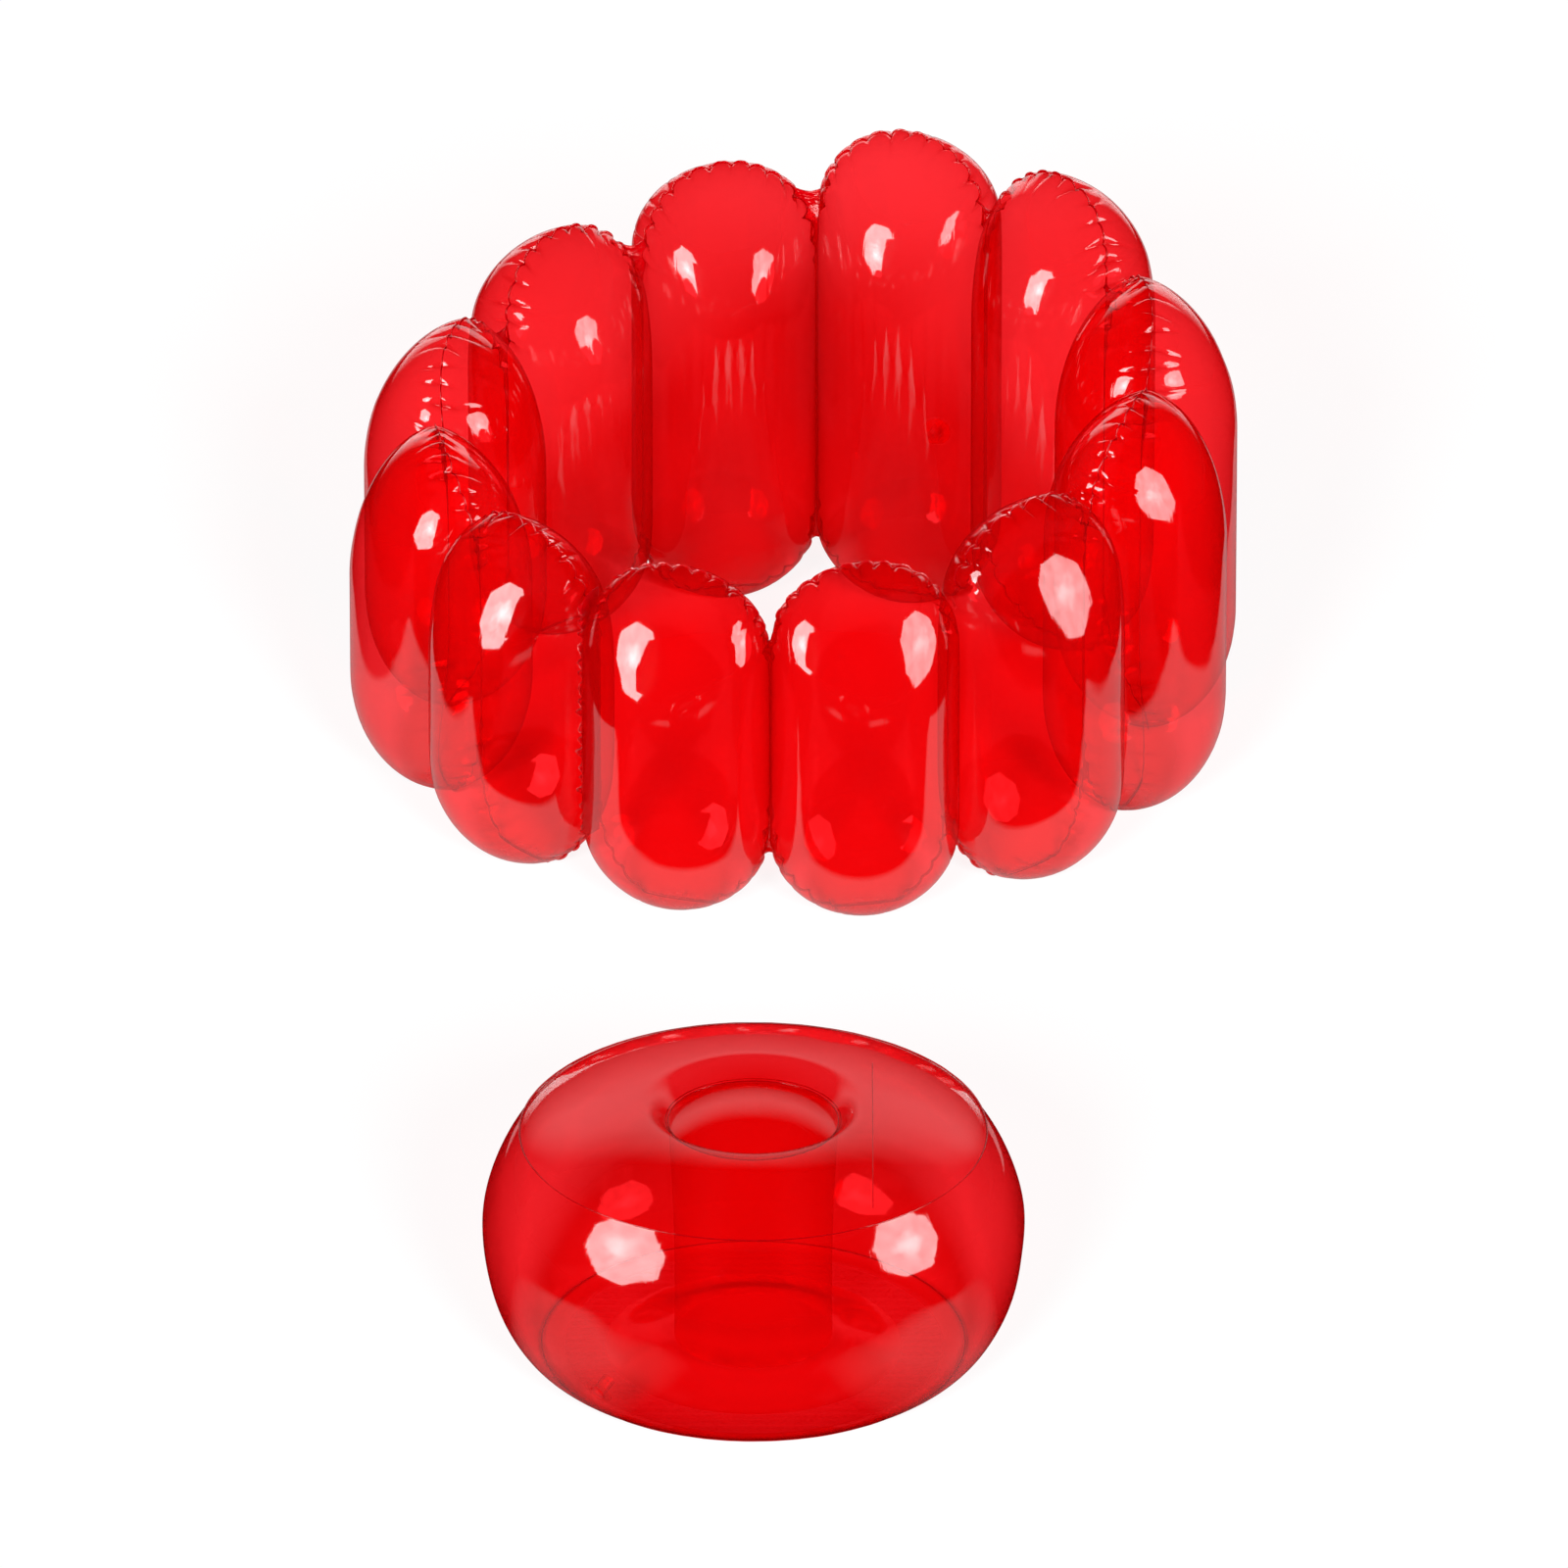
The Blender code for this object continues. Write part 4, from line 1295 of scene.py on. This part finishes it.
@dataclass
class ClosingFin:
    """The crinkled flange that stands out where the row of cells is closed into a ring."""

    middle_path: np.ndarray
    out: np.ndarray
    half_gap: float
    depth: float
    swing: float = 6.5 * MM
    wave: float = 17 * MM
    rows: int = 330
    columns: int = 34
    thickness: float = 0.8 * MM
    seed: int = 12
    corner_share: float = 0.035
    foot_lobe: float = 23 * MM
    free_width: float = 22 * MM
    crinkles: int = 7
    teeth: int = 120
    tooth_swing: float = 2.6 * MM

    def build(self, material: bpy.types.Material) -> bpy.types.Object:
        """Makes the fin.

        Args:
            material: The welds' finish.

        Returns:
            The piece.
        """
        random = np.random.default_rng(self.seed)
        path = self.middle_path
        heights = path[:, 2]
        rows = len(path)
        across = np.cross([0, 0, 1], self.out)
        share = np.linspace(0, 1, self.columns)
        rise = (heights - heights.min()) / (heights.max() - heights.min())
        end = np.clip(np.minimum(rise, 1 - rise) / self.corner_share, 0, 1)**0.5
        lobes = 1 - 0.16 * np.abs(np.sin(math.pi * heights / self.foot_lobe + 0.6))**6 * (rise < 0.25)
        edge = self.depth * (0.35 + 0.65 * end) * lobes
        edge = edge * (1 + 0.05 * np.sin(heights / (9 * MM)) + 0.04 * np.sin(heights / (4.1 * MM) + 2))
        reach = share[None] * edge[:, None]
        free = np.clip((reach - self.half_gap) / self.free_width, 0, 1)
        phase = np.cumsum(np.r_[0, np.diff(heights)]) / self.wave * 2 * math.pi
        phase = phase + 0.9 * np.sin(phase / 2.7 + 1)
        swing = np.sin(phase)[:, None] * self.swing * free
        for _ in range(self.crinkles):
            pitch, turn = random.uniform(3.5, 9) * MM, random.uniform(-0.9, 0.9)
            swing += random.uniform(0.4, 1.3) * MM * free * np.sin(
                2 * math.pi * (heights[:, None] + turn * reach) / pitch + random.uniform(0, 7))
        knots = heights.min() - 50 * MM + np.cumsum(random.uniform(4, 13, self.teeth)) * MM
        teeth = np.interp(heights[:, None] + 0.5 * reach, knots, np.arange(self.teeth) % 2)
        swing += self.tooth_swing * free * (teeth - 0.5) * (0.5 + 0.5 * np.sin(phase / 3.1))[:, None]
        points = path[:, None] + reach[..., None] * self.out + swing[..., None] * across
        piece = add_mesh("closing_fin_flange", points.reshape(-1, 3), grid_faces(rows, self.columns),
                         material)
        thicken(piece, self.thickness)
        return piece


@dataclass
class Ring:
    """The ring of air cells with its welds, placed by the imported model."""

    count: int = 12
    tube_clearance: float = 0.017
    welded_gap: float = 0.25 * MM
    closing_gap: float = 1.0 * MM
    lip_share: float = 0.93
    lip_sink: float = 0.4 * MM
    lip_floor: float = 3.6 * MM
    side_notch: float = 26.0
    notch_growth: float = 14.0
    fin_inset: float = 0.8 * MM
    fin_gap: float = 27 * MM
    fin_depth: float = 62 * MM
    middle: Vector = field(init=False)
    radius: float = field(init=False)
    cells: list[AirCell] = field(init=False, default_factory=list, repr=False)

    def __post_init__(self) -> None:
        """Reads the ring's middle and its cells from the frame."""
        boxes = []
        for number in range(1, self.count + 1):
            corners = [c for side in ("outer", "inner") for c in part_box(f"cell_{number:02d}_{side}_skin")]
            low = Vector([min(c[i] for c in corners) for i in range(3)])
            high = Vector([max(c[i] for c in corners) for i in range(3)])
            boxes.append((low, high))
        feet = [Vector(((low.x + high.x) / 2, (low.y + high.y) / 2, 0)) for low, high in boxes]
        self.middle = sum(feet, Vector()) / self.count
        self.radius = sum((foot - self.middle).length for foot in feet) / self.count
        for number, (foot, (low, high)) in enumerate(zip(feet, boxes), 1):
            out = (foot - self.middle).normalized()
            wide = (1 - self.tube_clearance) * self.radius * math.sin(math.pi / self.count)
            gaps = tuple(self.closing_gap if number == last else self.welded_gap
                         for last in (self.count, 1))
            self.cells.append(AirCell(number, foot, out, wide, high.z, self.radius,
                                      shape_seed=number, plane_gaps=gaps))

    def inflate(self, air: Inflation | None) -> None:
        """Works out every cell's film, a mirrored pair of the same height at a time.

        Args:
            air: How the film is blown up, or None to leave the simulation out.
        """
        formed = {}
        for cell in self.cells:
            twin = formed.get(round(cell.height, 4))
            if twin is None:
                cell.form(air)
                formed[round(cell.height, 4)] = cell
            else:
                cell.copy_form(twin)
            log.info("cell %02d formed, %d points", cell.number, len(cell.points))

    def build(self, film: bpy.types.Material, welded: bpy.types.Material) -> None:
        """Builds the bladders and the welds between them.

        Args:
            film: The film's finish.
            welded: The welds' finish.
        """
        ribbon = Ribbon("seam_lip", welded)
        for cell in self.cells:
            piece = cell.build(film)
            number = f"cell_{cell.number:02d}"
            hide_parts(number + "_outer_skin", number + "_inner_skin")
            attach(piece, "ring")
            for part in ("top", "foot"):
                ids = cell.seam[part]
                local = cell.points[ids]
                keep = np.abs(local[:, 0]) < cell.radius * self.lip_share
                middle = np.array([0, 0, cell.height - cell.radius if part == "top" else cell.radius])
                way = (local - middle) * (1, 0, 1)
                way /= np.linalg.norm(way, axis=1)[:, None]
                path, way = cell.world(local)[keep], (cell.world(way) - np.array(cell.foot))[keep]
                path = path - way * self.lip_sink
                if part == "foot":
                    path[:, 2] = np.maximum(path[:, 2], self.lip_floor)
                lip = ribbon.sweep(f"{number}_{part}_seam_lip", path, way, Seed=cell.number)
                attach(lip, "ring")
            log.info("%s built", piece.name)
        for cell, following in zip(self.cells, self.cells[1:] + self.cells[:1]):
            out = (cell.out + following.out).normalized()
            weld = Weld(f"weld_{cell.number:02d}_{following.number:02d}", side_path(cell, "right"),
                        side_path(following, "left"), np.array(out), cell.number,
                        notch_gap=(self.side_notch + self.notch_growth * out.y) * MM)
            piece = weld.build(welded)
            self.place(piece, Slot.WELDED, f"weld_strip_{cell.number:02d}_{following.number:02d}")
            if following.number == 1:
                self.close(weld, welded)

    def close(self, weld: Weld, welded: bpy.types.Material) -> None:
        """Builds the fin where the ring is closed.

        Args:
            weld: The weld that it stands on.
            welded: The welds' finish.
        """
        low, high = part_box("closing_fin")
        heights = np.linspace(low.z, high.z, ClosingFin.rows)
        level = np.full(ClosingFin.rows, (low.z + high.z) / 2)
        middle = (at_heights(weld.left_path, level) + at_heights(weld.right_path, level)) / 2
        middle += weld.out * self.fin_inset
        middle[:, 2] = heights
        corners = np.array([(x, y) for x in (low.x, high.x) for y in (low.y, high.y)])
        reach = max(float((corner - middle[0, :2]) @ weld.out[:2]) for corner in corners)
        fin = ClosingFin(middle, weld.out, self.fin_gap, min(reach, self.fin_depth))
        self.place(fin.build(welded), Slot.WELDED, "closing_fin")

    @staticmethod
    def place(piece: bpy.types.Object, slot: Slot, *nodes: str) -> None:
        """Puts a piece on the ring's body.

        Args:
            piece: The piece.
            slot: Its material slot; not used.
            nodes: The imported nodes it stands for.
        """
        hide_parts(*nodes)
        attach(piece, "ring")
        log.info("%s built", piece.name)


def bezier(*corners: tuple[float, float], steps: int = 48) -> np.ndarray:
    """Points of a cubic curve.

    Args:
        corners: Its four control points.
        steps: How many points.

    Returns:
        One row for each point.
    """
    share = np.linspace(0, 1, steps)[:, None]
    a, b, c, d = (np.array(corner, float) for corner in corners)
    return (1 - share)**3 * a + 3 * (1 - share)**2 * share * b + 3 * (1 - share) * share**2 * c + share**3 * d


def punch(points: np.ndarray, faces: list, disc: str,
          radius: float) -> tuple[np.ndarray, list, np.ndarray]:
    """Cuts a round hole in a film, where a valve's neck goes through it.

    Args:
        points: The film's points.
        faces: Its faces.
        disc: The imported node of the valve's disc, which lies over the hole.
        radius: The hole's radius.

    Returns:
        The points and faces that stay, and which of the old points those are.
    """
    node = frame["nodes"][disc]
    corners = np.array([tuple(node.matrix_world @ corner.co) for corner in node.data.vertices])
    middle = (corners.min(axis=0) + corners.max(axis=0)) / 2
    way = np.linalg.svd(corners - middle, full_matrices=False)[2][-1]
    apart = points - middle
    along = apart @ way
    aside = apart - along[:, None] * way
    distance = np.linalg.norm(aside, axis=1)
    inside = (np.abs(along) < 2 * radius) & (distance < radius)
    kept = [face for face in faces if not all(inside[i] for i in face)]
    used = np.zeros(len(points), bool)
    used[np.unique(np.concatenate([np.array(face) for face in kept]))] = True
    rim = inside & used
    points = points.copy()
    points[rim] += aside[rim] / distance[rim, None] * (radius - distance[rim])[:, None]
    number = np.cumsum(used) - 1
    return points[used], [tuple(int(number[i]) for i in face) for face in kept], used


@dataclass
class Seat:
    """The round seat: a turned bladder of five film sheets, with a film column up its middle."""

    middle: Vector
    radius: float
    height: float = 306 * MM
    widest: float = 150 * MM
    crest_inset: float = 180 * MM
    flank_inset: float = 88 * MM
    base_seam_inset: float = 66 * MM
    top_weld: float = 96 * MM
    base_weld: float = 89 * MM
    groove: float = 22 * MM
    top_seam_inset: float = 43 * MM
    top_seam_height: float = 270 * MM
    dome_rise: float = 24 * MM
    hollow: float = 16 * MM
    hollow_width: float = 78 * MM
    turns: int = 360
    valve_hole: float = 9.5 * MM
    # Handles of the curves above the widest place, below and above the seam, and round the crest
    widest_handle: float = 0.040
    under_seam: tuple[float, float] = (0.0277, -0.0355)
    over_seam: tuple[float, float] = (-0.0216, 0.0208)
    crest_handle: tuple[float, float] = (0.045, -0.0005)
    pit_handle: float = 0.012
    funnel_handle: float = 10 * MM
    column_waist: float = 3 * MM
    base_dome_drop: float = 10 * MM
    grid_step: float = 5 * MM
    wobble_depth: float = 70 * MM
    lap_aside: float = 134 * MM
    lap_ends: tuple[float, float] = (0.105, -0.205)
    lap_steps: int = 60

    def profiles(self) -> dict[str, np.ndarray]:
        """Radius and height along each sheet, welded edge to welded edge.

        Returns:
            A line of points for each sheet's name.
        """
        crest = self.radius - self.crest_inset
        seam = (self.radius - self.top_seam_inset, self.top_seam_height)
        upper = bezier((self.radius, self.widest), (self.radius, self.widest + self.widest_handle),
                       (seam[0] + self.under_seam[0], seam[1] + self.under_seam[1]), seam)
        split = len(upper) - 1
        shoulder = bezier(seam, (seam[0] + self.over_seam[0], seam[1] + self.over_seam[1]),
                          (crest + self.crest_handle[0], self.height + self.crest_handle[1]),
                          (crest, self.height))
        upper = np.vstack([upper, shoulder[1:]])
        turn = np.linspace(-math.pi / 2, 0, 60)
        flank = np.stack([self.radius - self.flank_inset * (1 - np.cos(turn)),
                          self.widest * (1 + np.sin(turn))], axis=1)
        start = int(np.argmin(np.abs(flank[:, 0] - (self.radius - self.base_seam_inset))))
        top_z = self.height - self.groove
        inner = bezier((crest, self.height), (crest - self.pit_handle, self.height),
                       (self.top_weld + self.funnel_handle, self.height - self.funnel_handle),
                       (self.top_weld, top_z))
        share = np.linspace(0, 1, 24)
        hollow_in = np.stack([self.base_weld + self.hollow_width * share,
                              self.hollow * (0.5 + 0.5 * np.cos(math.pi * share))], axis=1)
        flat = np.array([(r, 0.0) for r in np.linspace(self.base_weld + self.hollow_width,
                                                       self.radius - self.flank_inset, 8)[1:-1]])
        column = np.linspace(0, 1, 30)
        waist = self.base_weld + (self.top_weld - self.base_weld) * column
        waist -= self.column_waist * np.sin(math.pi * column)
        return {
            "top_sheet": np.vstack([upper[split:], inner[1:]]),
            "side_band": np.vstack([flank[start:-1], upper[:split + 1]]),
            "base_sheet": np.vstack([hollow_in, flat, flank[:start + 1]]),
            "centre_dome": np.stack([self.top_weld * (1 - share),
                                     top_z + self.dome_rise * (1 - (1 - share)**2.2)], axis=1),
            "base_dome": np.stack([self.base_weld * (1 - share),
                                   self.hollow - self.base_dome_drop * (1 - (1 - share)**2)], axis=1),
            "column": np.stack([waist, self.hollow + (top_z - self.hollow) * column], axis=1),
        }

    def sheet(self, name: str, profile: np.ndarray, material: bpy.types.Material) -> bpy.types.Object:
        """Turns a profile round the seat's middle.

        Args:
            name: The sheet's name.
            profile: Radius and height of its points.
            material: Its finish.

        Returns:
            The piece.
        """
        step = np.r_[0, np.cumsum(np.linalg.norm(np.diff(profile, axis=0), axis=1))]
        count = max(6, round(step[-1] / self.grid_step))
        lengths = np.linspace(0, step[-1], count + 1)
        radius = np.interp(lengths, step, profile[:, 0])
        rise = np.interp(lengths, step, profile[:, 1])
        angle = np.arange(self.turns) * 2 * math.pi / self.turns
        grid_r = np.repeat(radius[:, None], self.turns, axis=1)
        grid_z = np.repeat(rise[:, None], self.turns, axis=1)
        slack = np.sin(math.pi * np.clip(grid_z / self.top_seam_height, 0, 1))**2
        slack *= grid_r > self.radius - self.wobble_depth
        for turns, size, phase in ((7, 0.9, 1.0), (13, 0.6, 2.3), (23, 0.4, 0.4)):
            grid_r = grid_r + size * MM * slack * np.sin(turns * angle + phase + 9 * grid_z)
        x = self.middle.x + grid_r * np.sin(angle)
        y = self.middle.y - grid_r * np.cos(angle)
        points = np.stack([x, y, grid_z], axis=2).reshape(-1, 3)
        faces = []
        for start in range(0, count * self.turns, self.turns):
            for i in range(self.turns):
                j = (i + 1) % self.turns
                faces.append((start + i, start + j, start + self.turns + j, start + self.turns + i))
        uv = np.stack([np.tile(angle * self.radius, count + 1), np.repeat(lengths, self.turns)], axis=1)
        if name == "side_band":
            points, faces, used = punch(points, faces, "seat_valve_base", self.valve_hole)
            uv = uv[used]
        piece = add_mesh(f"seat_{name}_film", points, faces, material)
        dress_mesh(piece.data, uv, np.full(len(points), 0.05), np.zeros(len(points)))
        return piece

    def ring_path(self, radius: float, height: float, count: int = 240) -> tuple[np.ndarray, np.ndarray]:
        """A circle about the seat's axis.

        Args:
            radius: Its radius.
            height: Its height.
            count: How many points.

        Returns:
            Its points, and the way outward at each.
        """
        angle = np.arange(count) * 2 * math.pi / count
        way = np.stack([np.sin(angle), -np.cos(angle), np.zeros(count)], axis=1)
        return np.array(self.middle) + way * radius + (0, 0, height), way

    def seams(self, welded: bpy.types.Material, profiles: dict[str, np.ndarray]) -> None:
        """Lays the welded lips of the seat's seams.

        Args:
            welded: The welds' finish.
            profiles: The sheets' profiles.
        """
        ribbon = Ribbon("seat_lip", welded)
        top, band, base = (profiles[name] for name in ("top_sheet", "side_band", "base_sheet"))
        for name, (radius, height), rise, width in (
            ("upper_seam", top[0], 46, 2.2), ("base_seam", base[-1], -12, 1.8),
            ("top_weld_outer", top[-1] + (2.6 * MM, 1.2 * MM), 90, 0.9),
            ("top_weld_inner", top[-1], 90, 0.9),
        ):
            path, way = self.ring_path(radius, height + 0.2 * MM)
            way = way * math.cos(math.radians(rise)) + np.array([0, 0, math.sin(math.radians(rise))])
            path[:, 2] = np.maximum(path[:, 2], 1.6 * MM)
            lip = ribbon.sweep(f"seat_{name}_lip", path, way, closed=True, Width=width * MM, Waver=0.7 * MM)
            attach(lip, "seat")
        order = np.argsort(top[:, 0])
        aside = np.full(self.lap_steps, self.lap_aside)
        ahead = np.linspace(*self.lap_ends, self.lap_steps)
        reach = np.hypot(aside, ahead)
        height = np.interp(reach, top[order, 0], top[order, 1])
        path = np.array(self.middle) + np.stack([aside, ahead, height], axis=1)
        lap = ribbon.sweep("seat_lap_seam", path, np.tile([0.0, 0.0, 1.0], (self.lap_steps, 1)),
                           Width=0.4 * MM, Thickness=0.9 * MM, Waver=0.3 * MM)
        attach(lap, "seat")

    def build(self, film: bpy.types.Material, welded: bpy.types.Material) -> None:
        """Builds the seat's sheets and seams.

        Args:
            film: The film's finish.
            welded: The welds' finish.
        """
        profiles = self.profiles()
        self.seams(welded, profiles)
        # The column is seen through two films, so it tints little and hardly mirrors
        inner = ClearVinyl(name="clear_red_pvc_column_film", edge_tint="#F8606A", head_on_gloss=0.04,
                           grazing_gloss=0.1).material()
        for name, profile in profiles.items():
            piece = self.sheet(name, profile, inner if name == "column" else film)
            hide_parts(f"seat_{name}")
            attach(piece, "seat")
            log.info("%s", piece.name)


@dataclass(frozen=True)
class Softbox:
    """An eight-sided softbox, and the pieces that it lights."""

    name: str
    place: Vector
    aim: Vector
    across: float
    radiance: float
    body: str


@dataclass
class Studio:
    """Floor, softboxes, dark surround and camera."""

    ring_middle: Vector
    seat_middle: Vector
    lens: float = 660.0
    sensor: float = 36.0
    distance: float = 33.75
    elevation: float = math.radians(27)
    key_strength: float = 4.4
    key_azimuth: float = math.radians(17)
    key_elevation: float = math.radians(25.5)
    key_spread: float = math.radians(12)
    fill: float = 0.05
    floor_half: float = 9.0
    drape_steps: int = 48
    drape_radius: float = 4.5
    drape_height: float = 3.2
    backdrop_behind: float = 3.0
    backdrop_half: float = 2.6
    backdrop_height: float = 3.0
    film_layers: int = 40
    softboxes: list[Softbox] = field(init=False, repr=False)

    def __post_init__(self) -> None:
        """Places the softboxes and aims each at the middle of its body."""
        ring_aim, seat_aim = Vector((0, 0.5, 0.35)), self.seat_middle + Vector((0, 0, 0.2))
        self.softboxes = [
            Softbox("ring_softbox_left", Vector((-1.03, -0.38, 0.66)), ring_aim, 0.95, 7.0, "ring"),
            Softbox("ring_softbox_right", Vector((1.06, -0.18, 0.66)), ring_aim, 0.95, 4.6, "ring"),
            Softbox("seat_softbox_left", Vector((-0.93, -1.48, 0.60)), seat_aim, 0.70, 6.0, "seat"),
            Softbox("seat_softbox_right", Vector((0.98, -1.32, 0.58)), seat_aim, 0.66, 5.4, "seat"),
        ]

    def floor(self) -> None:
        """Lays the white floor."""
        half = self.floor_half
        corners = np.array([(-half, -half, 0), (half, -half, 0), (half, half, 0), (-half, half, 0)], float)
        # One sheet under and behind the ring, and one on each side of the seat's front
        ring, seat = self.ring_middle, self.seat_middle
        material = WhiteSweep().material([
            ((ring.x - 0.82, ring.y - 0.56), (ring.x + 0.88, half), 0.64, 12 * MM),
            ((seat.x - 0.75, seat.y - 0.40), (seat.x - 0.22, seat.y - 0.06), 0.36, 70 * MM),
            ((seat.x + 0.22, seat.y - 0.40), (seat.x + 0.75, seat.y - 0.06), 0.36, 70 * MM),
        ])
        add_mesh("studio_floor", corners, [(0, 1, 2, 3)], material)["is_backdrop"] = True

    def camera(self) -> None:
        """Sets a long lens at the photograph's height of view."""
        data = bpy.data.cameras.new("camera")
        data.lens, data.sensor_width = self.lens, self.sensor
        data.clip_start, data.clip_end = 1.0, 200.0
        camera = bpy.data.objects.new("camera", data)
        bpy.context.scene.collection.objects.link(camera)
        back = Vector((0, -math.cos(self.elevation), math.sin(self.elevation)))
        up = Vector((0, math.sin(self.elevation), math.cos(self.elevation)))
        metre = self.lens / self.sensor * PHOTO_SIZE / self.distance
        across = (PHOTO_SIZE / 2 - RING_FOOT_PIXEL[0]) / metre
        down = (PHOTO_SIZE / 2 - RING_FOOT_PIXEL[1]) / metre
        aim = self.ring_middle + Vector((1, 0, 0)) * across - up * down
        camera.location = aim + back * self.distance
        camera.rotation_euler = (-back).to_track_quat("-Z", "Y").to_euler()
        bpy.context.scene.camera = camera

    def lamps(self) -> None:
        """Hangs the softboxes, each lighting one body, and the keys that go with them."""
        for box in self.softboxes:
            turn = (box.aim - box.place).to_track_quat("-Z", "Y").to_matrix()
            corners = [box.place + turn @ Vector((math.cos(a), math.sin(a), 0)) * box.across / 2
                       for a in (math.pi / 8 + math.pi / 4 * i for i in range(8))]
            cloth = LampCloth(box.radiance).material(box.place, box.across / 2)
            panel = add_mesh(box.name, np.array([tuple(corner) for corner in corners]),
                             [tuple(range(7, -1, -1))], cloth)
            panel.visible_camera = False
            panel.visible_shadow = False
            panel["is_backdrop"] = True
        for side, name in ((-1, "key_left"), (1, "key_right")):
            sun = bpy.data.lights.new(name, "SUN")
            sun.energy, sun.angle = self.key_strength, self.key_spread
            key = bpy.data.objects.new(name, sun)
            bpy.context.scene.collection.objects.link(key)
            turn, rise = self.key_azimuth, self.key_elevation
            way = Vector((side * math.sin(turn) * math.cos(rise), -math.cos(turn) * math.cos(rise),
                          math.sin(rise)))
            key.rotation_euler = way.to_track_quat("Z", "Y").to_euler()
            key.visible_glossy = False

    def link_lamps(self) -> None:
        """Lets each softbox and the card light only the pieces of its own body."""
        for name, body in [(box.name, box.body) for box in self.softboxes] + [("seat_card", "seat")]:
            lit = bpy.data.collections.new(name + "_lights")
            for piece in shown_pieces():
                bodies = body_of(piece) or [""]
                if bodies[0].startswith(body):
                    lit.objects.link(piece)
            bpy.data.objects[name].light_linking.receiver_collection = lit

    def world(self) -> None:
        """Sets a white ground for the camera and a soft fill for the rest."""
        world = bpy.data.worlds.new("studio")
        bpy.context.scene.world = world
        world.use_nodes = True
        tree = world.node_tree
        tree.nodes.clear()
        output = add_node(tree, "ShaderNodeOutputWorld")
        path = add_node(tree, "ShaderNodeLightPath")
        seen = add_node(tree, "ShaderNodeMath", {
            0: path.outputs["Is Camera Ray"], 1: path.outputs["Is Glossy Ray"],
        }, operation="MAXIMUM")
        seen = add_node(tree, "ShaderNodeMath", {
            0: seen.outputs["Value"], 1: path.outputs["Is Transmission Ray"],
        }, operation="MAXIMUM")
        fill = add_node(tree, "ShaderNodeBackground", {"Color": linear(WHITE), "Strength": self.fill})
        ground = add_node(tree, "ShaderNodeBackground", {"Color": linear(WHITE), "Strength": 1.0})
        mixed = add_node(tree, "ShaderNodeMixShader", {
            0: seen.outputs["Value"], 1: fill.outputs["Background"], 2: ground.outputs["Background"],
        })
        tree.links.new(mixed.outputs["Shader"], output.inputs["Surface"])

    def surround(self) -> None:
        """Hangs what only the gloss sees: black cloth round and over the set, the paper and the card."""
        steps, radius = self.drape_steps, self.drape_radius
        points, faces = [], []
        for i in range(steps):
            angle = 2 * math.pi * i / steps
            for z in (0.0, self.drape_height):
                points.append((radius * math.sin(angle), -radius * math.cos(angle), z))
        for i in range(steps):
            j = (i + 1) % steps
            faces.append((2 * i, 2 * i + 1, 2 * j + 1, 2 * j))
        faces.append(tuple(2 * i + 1 for i in range(steps)))
        drape = add_mesh("studio_drape", np.array(points), faces, BlackCloth().material())
        half, high = self.backdrop_half, self.backdrop_height
        back = self.ring_middle.y + self.backdrop_behind
        corners = np.array([(-half, back, 0), (half, back, 0),
                            (half, back, high), (-half, back, high)], float)
        paper = add_mesh("studio_backdrop", corners, [(0, 1, 2, 3)],
                         PaperBackdrop().material(self.ring_middle.x))
        sheen = SeatCard()
        stand = self.seat_middle.y + sheen.behind
        across = self.seat_middle.x + np.array([-1, 1, 1, -1]) * sheen.half_width
        rises = (sheen.foot, sheen.foot, sheen.top, sheen.top)
        corners = np.array([(x, stand, z) for x, z in zip(across, rises)])
        card = add_mesh("seat_card", corners, [(0, 1, 2, 3)], sheen.material())
        for hung in (drape, paper, card):
            hung.visible_camera = False
            hung.visible_diffuse = False
            hung.visible_shadow = False
            hung.visible_transmission = False
            hung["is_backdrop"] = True

    def build(self) -> None:
        """Sets up the whole studio."""
        self.camera()
        self.floor()
        self.lamps()
        self.surround()
        self.world()
        scene = bpy.context.scene
        scene.view_settings.view_transform = "Standard"
        scene.cycles.transparent_max_bounces = self.film_layers


def main() -> None:
    """Builds the chair and the studio round it."""
    logging.basicConfig(level=logging.INFO, format="%(name)s: %(message)s")
    film, welded, valve = ClearVinyl().material(), WeldedVinyl().material(), ValveVinyl().material()
    ring = Ring()
    low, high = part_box("seat_side_band")
    seat = Seat(Vector(((low.x + high.x) / 2, (low.y + high.y) / 2, 0)), (high.x - low.x) / 2)
    studio = Studio(ring.middle, seat.middle)
    studio.build()
    ring.inflate(Inflation())
    ring.build(film, welded)
    seat.build(film, welded)
    for node in frame["nodes"].values():
        if not node.hide_render:
            node.data.materials.clear()
            node.data.materials.append(valve)
    studio.link_lamps()


if __name__ == "__main__":
    main()
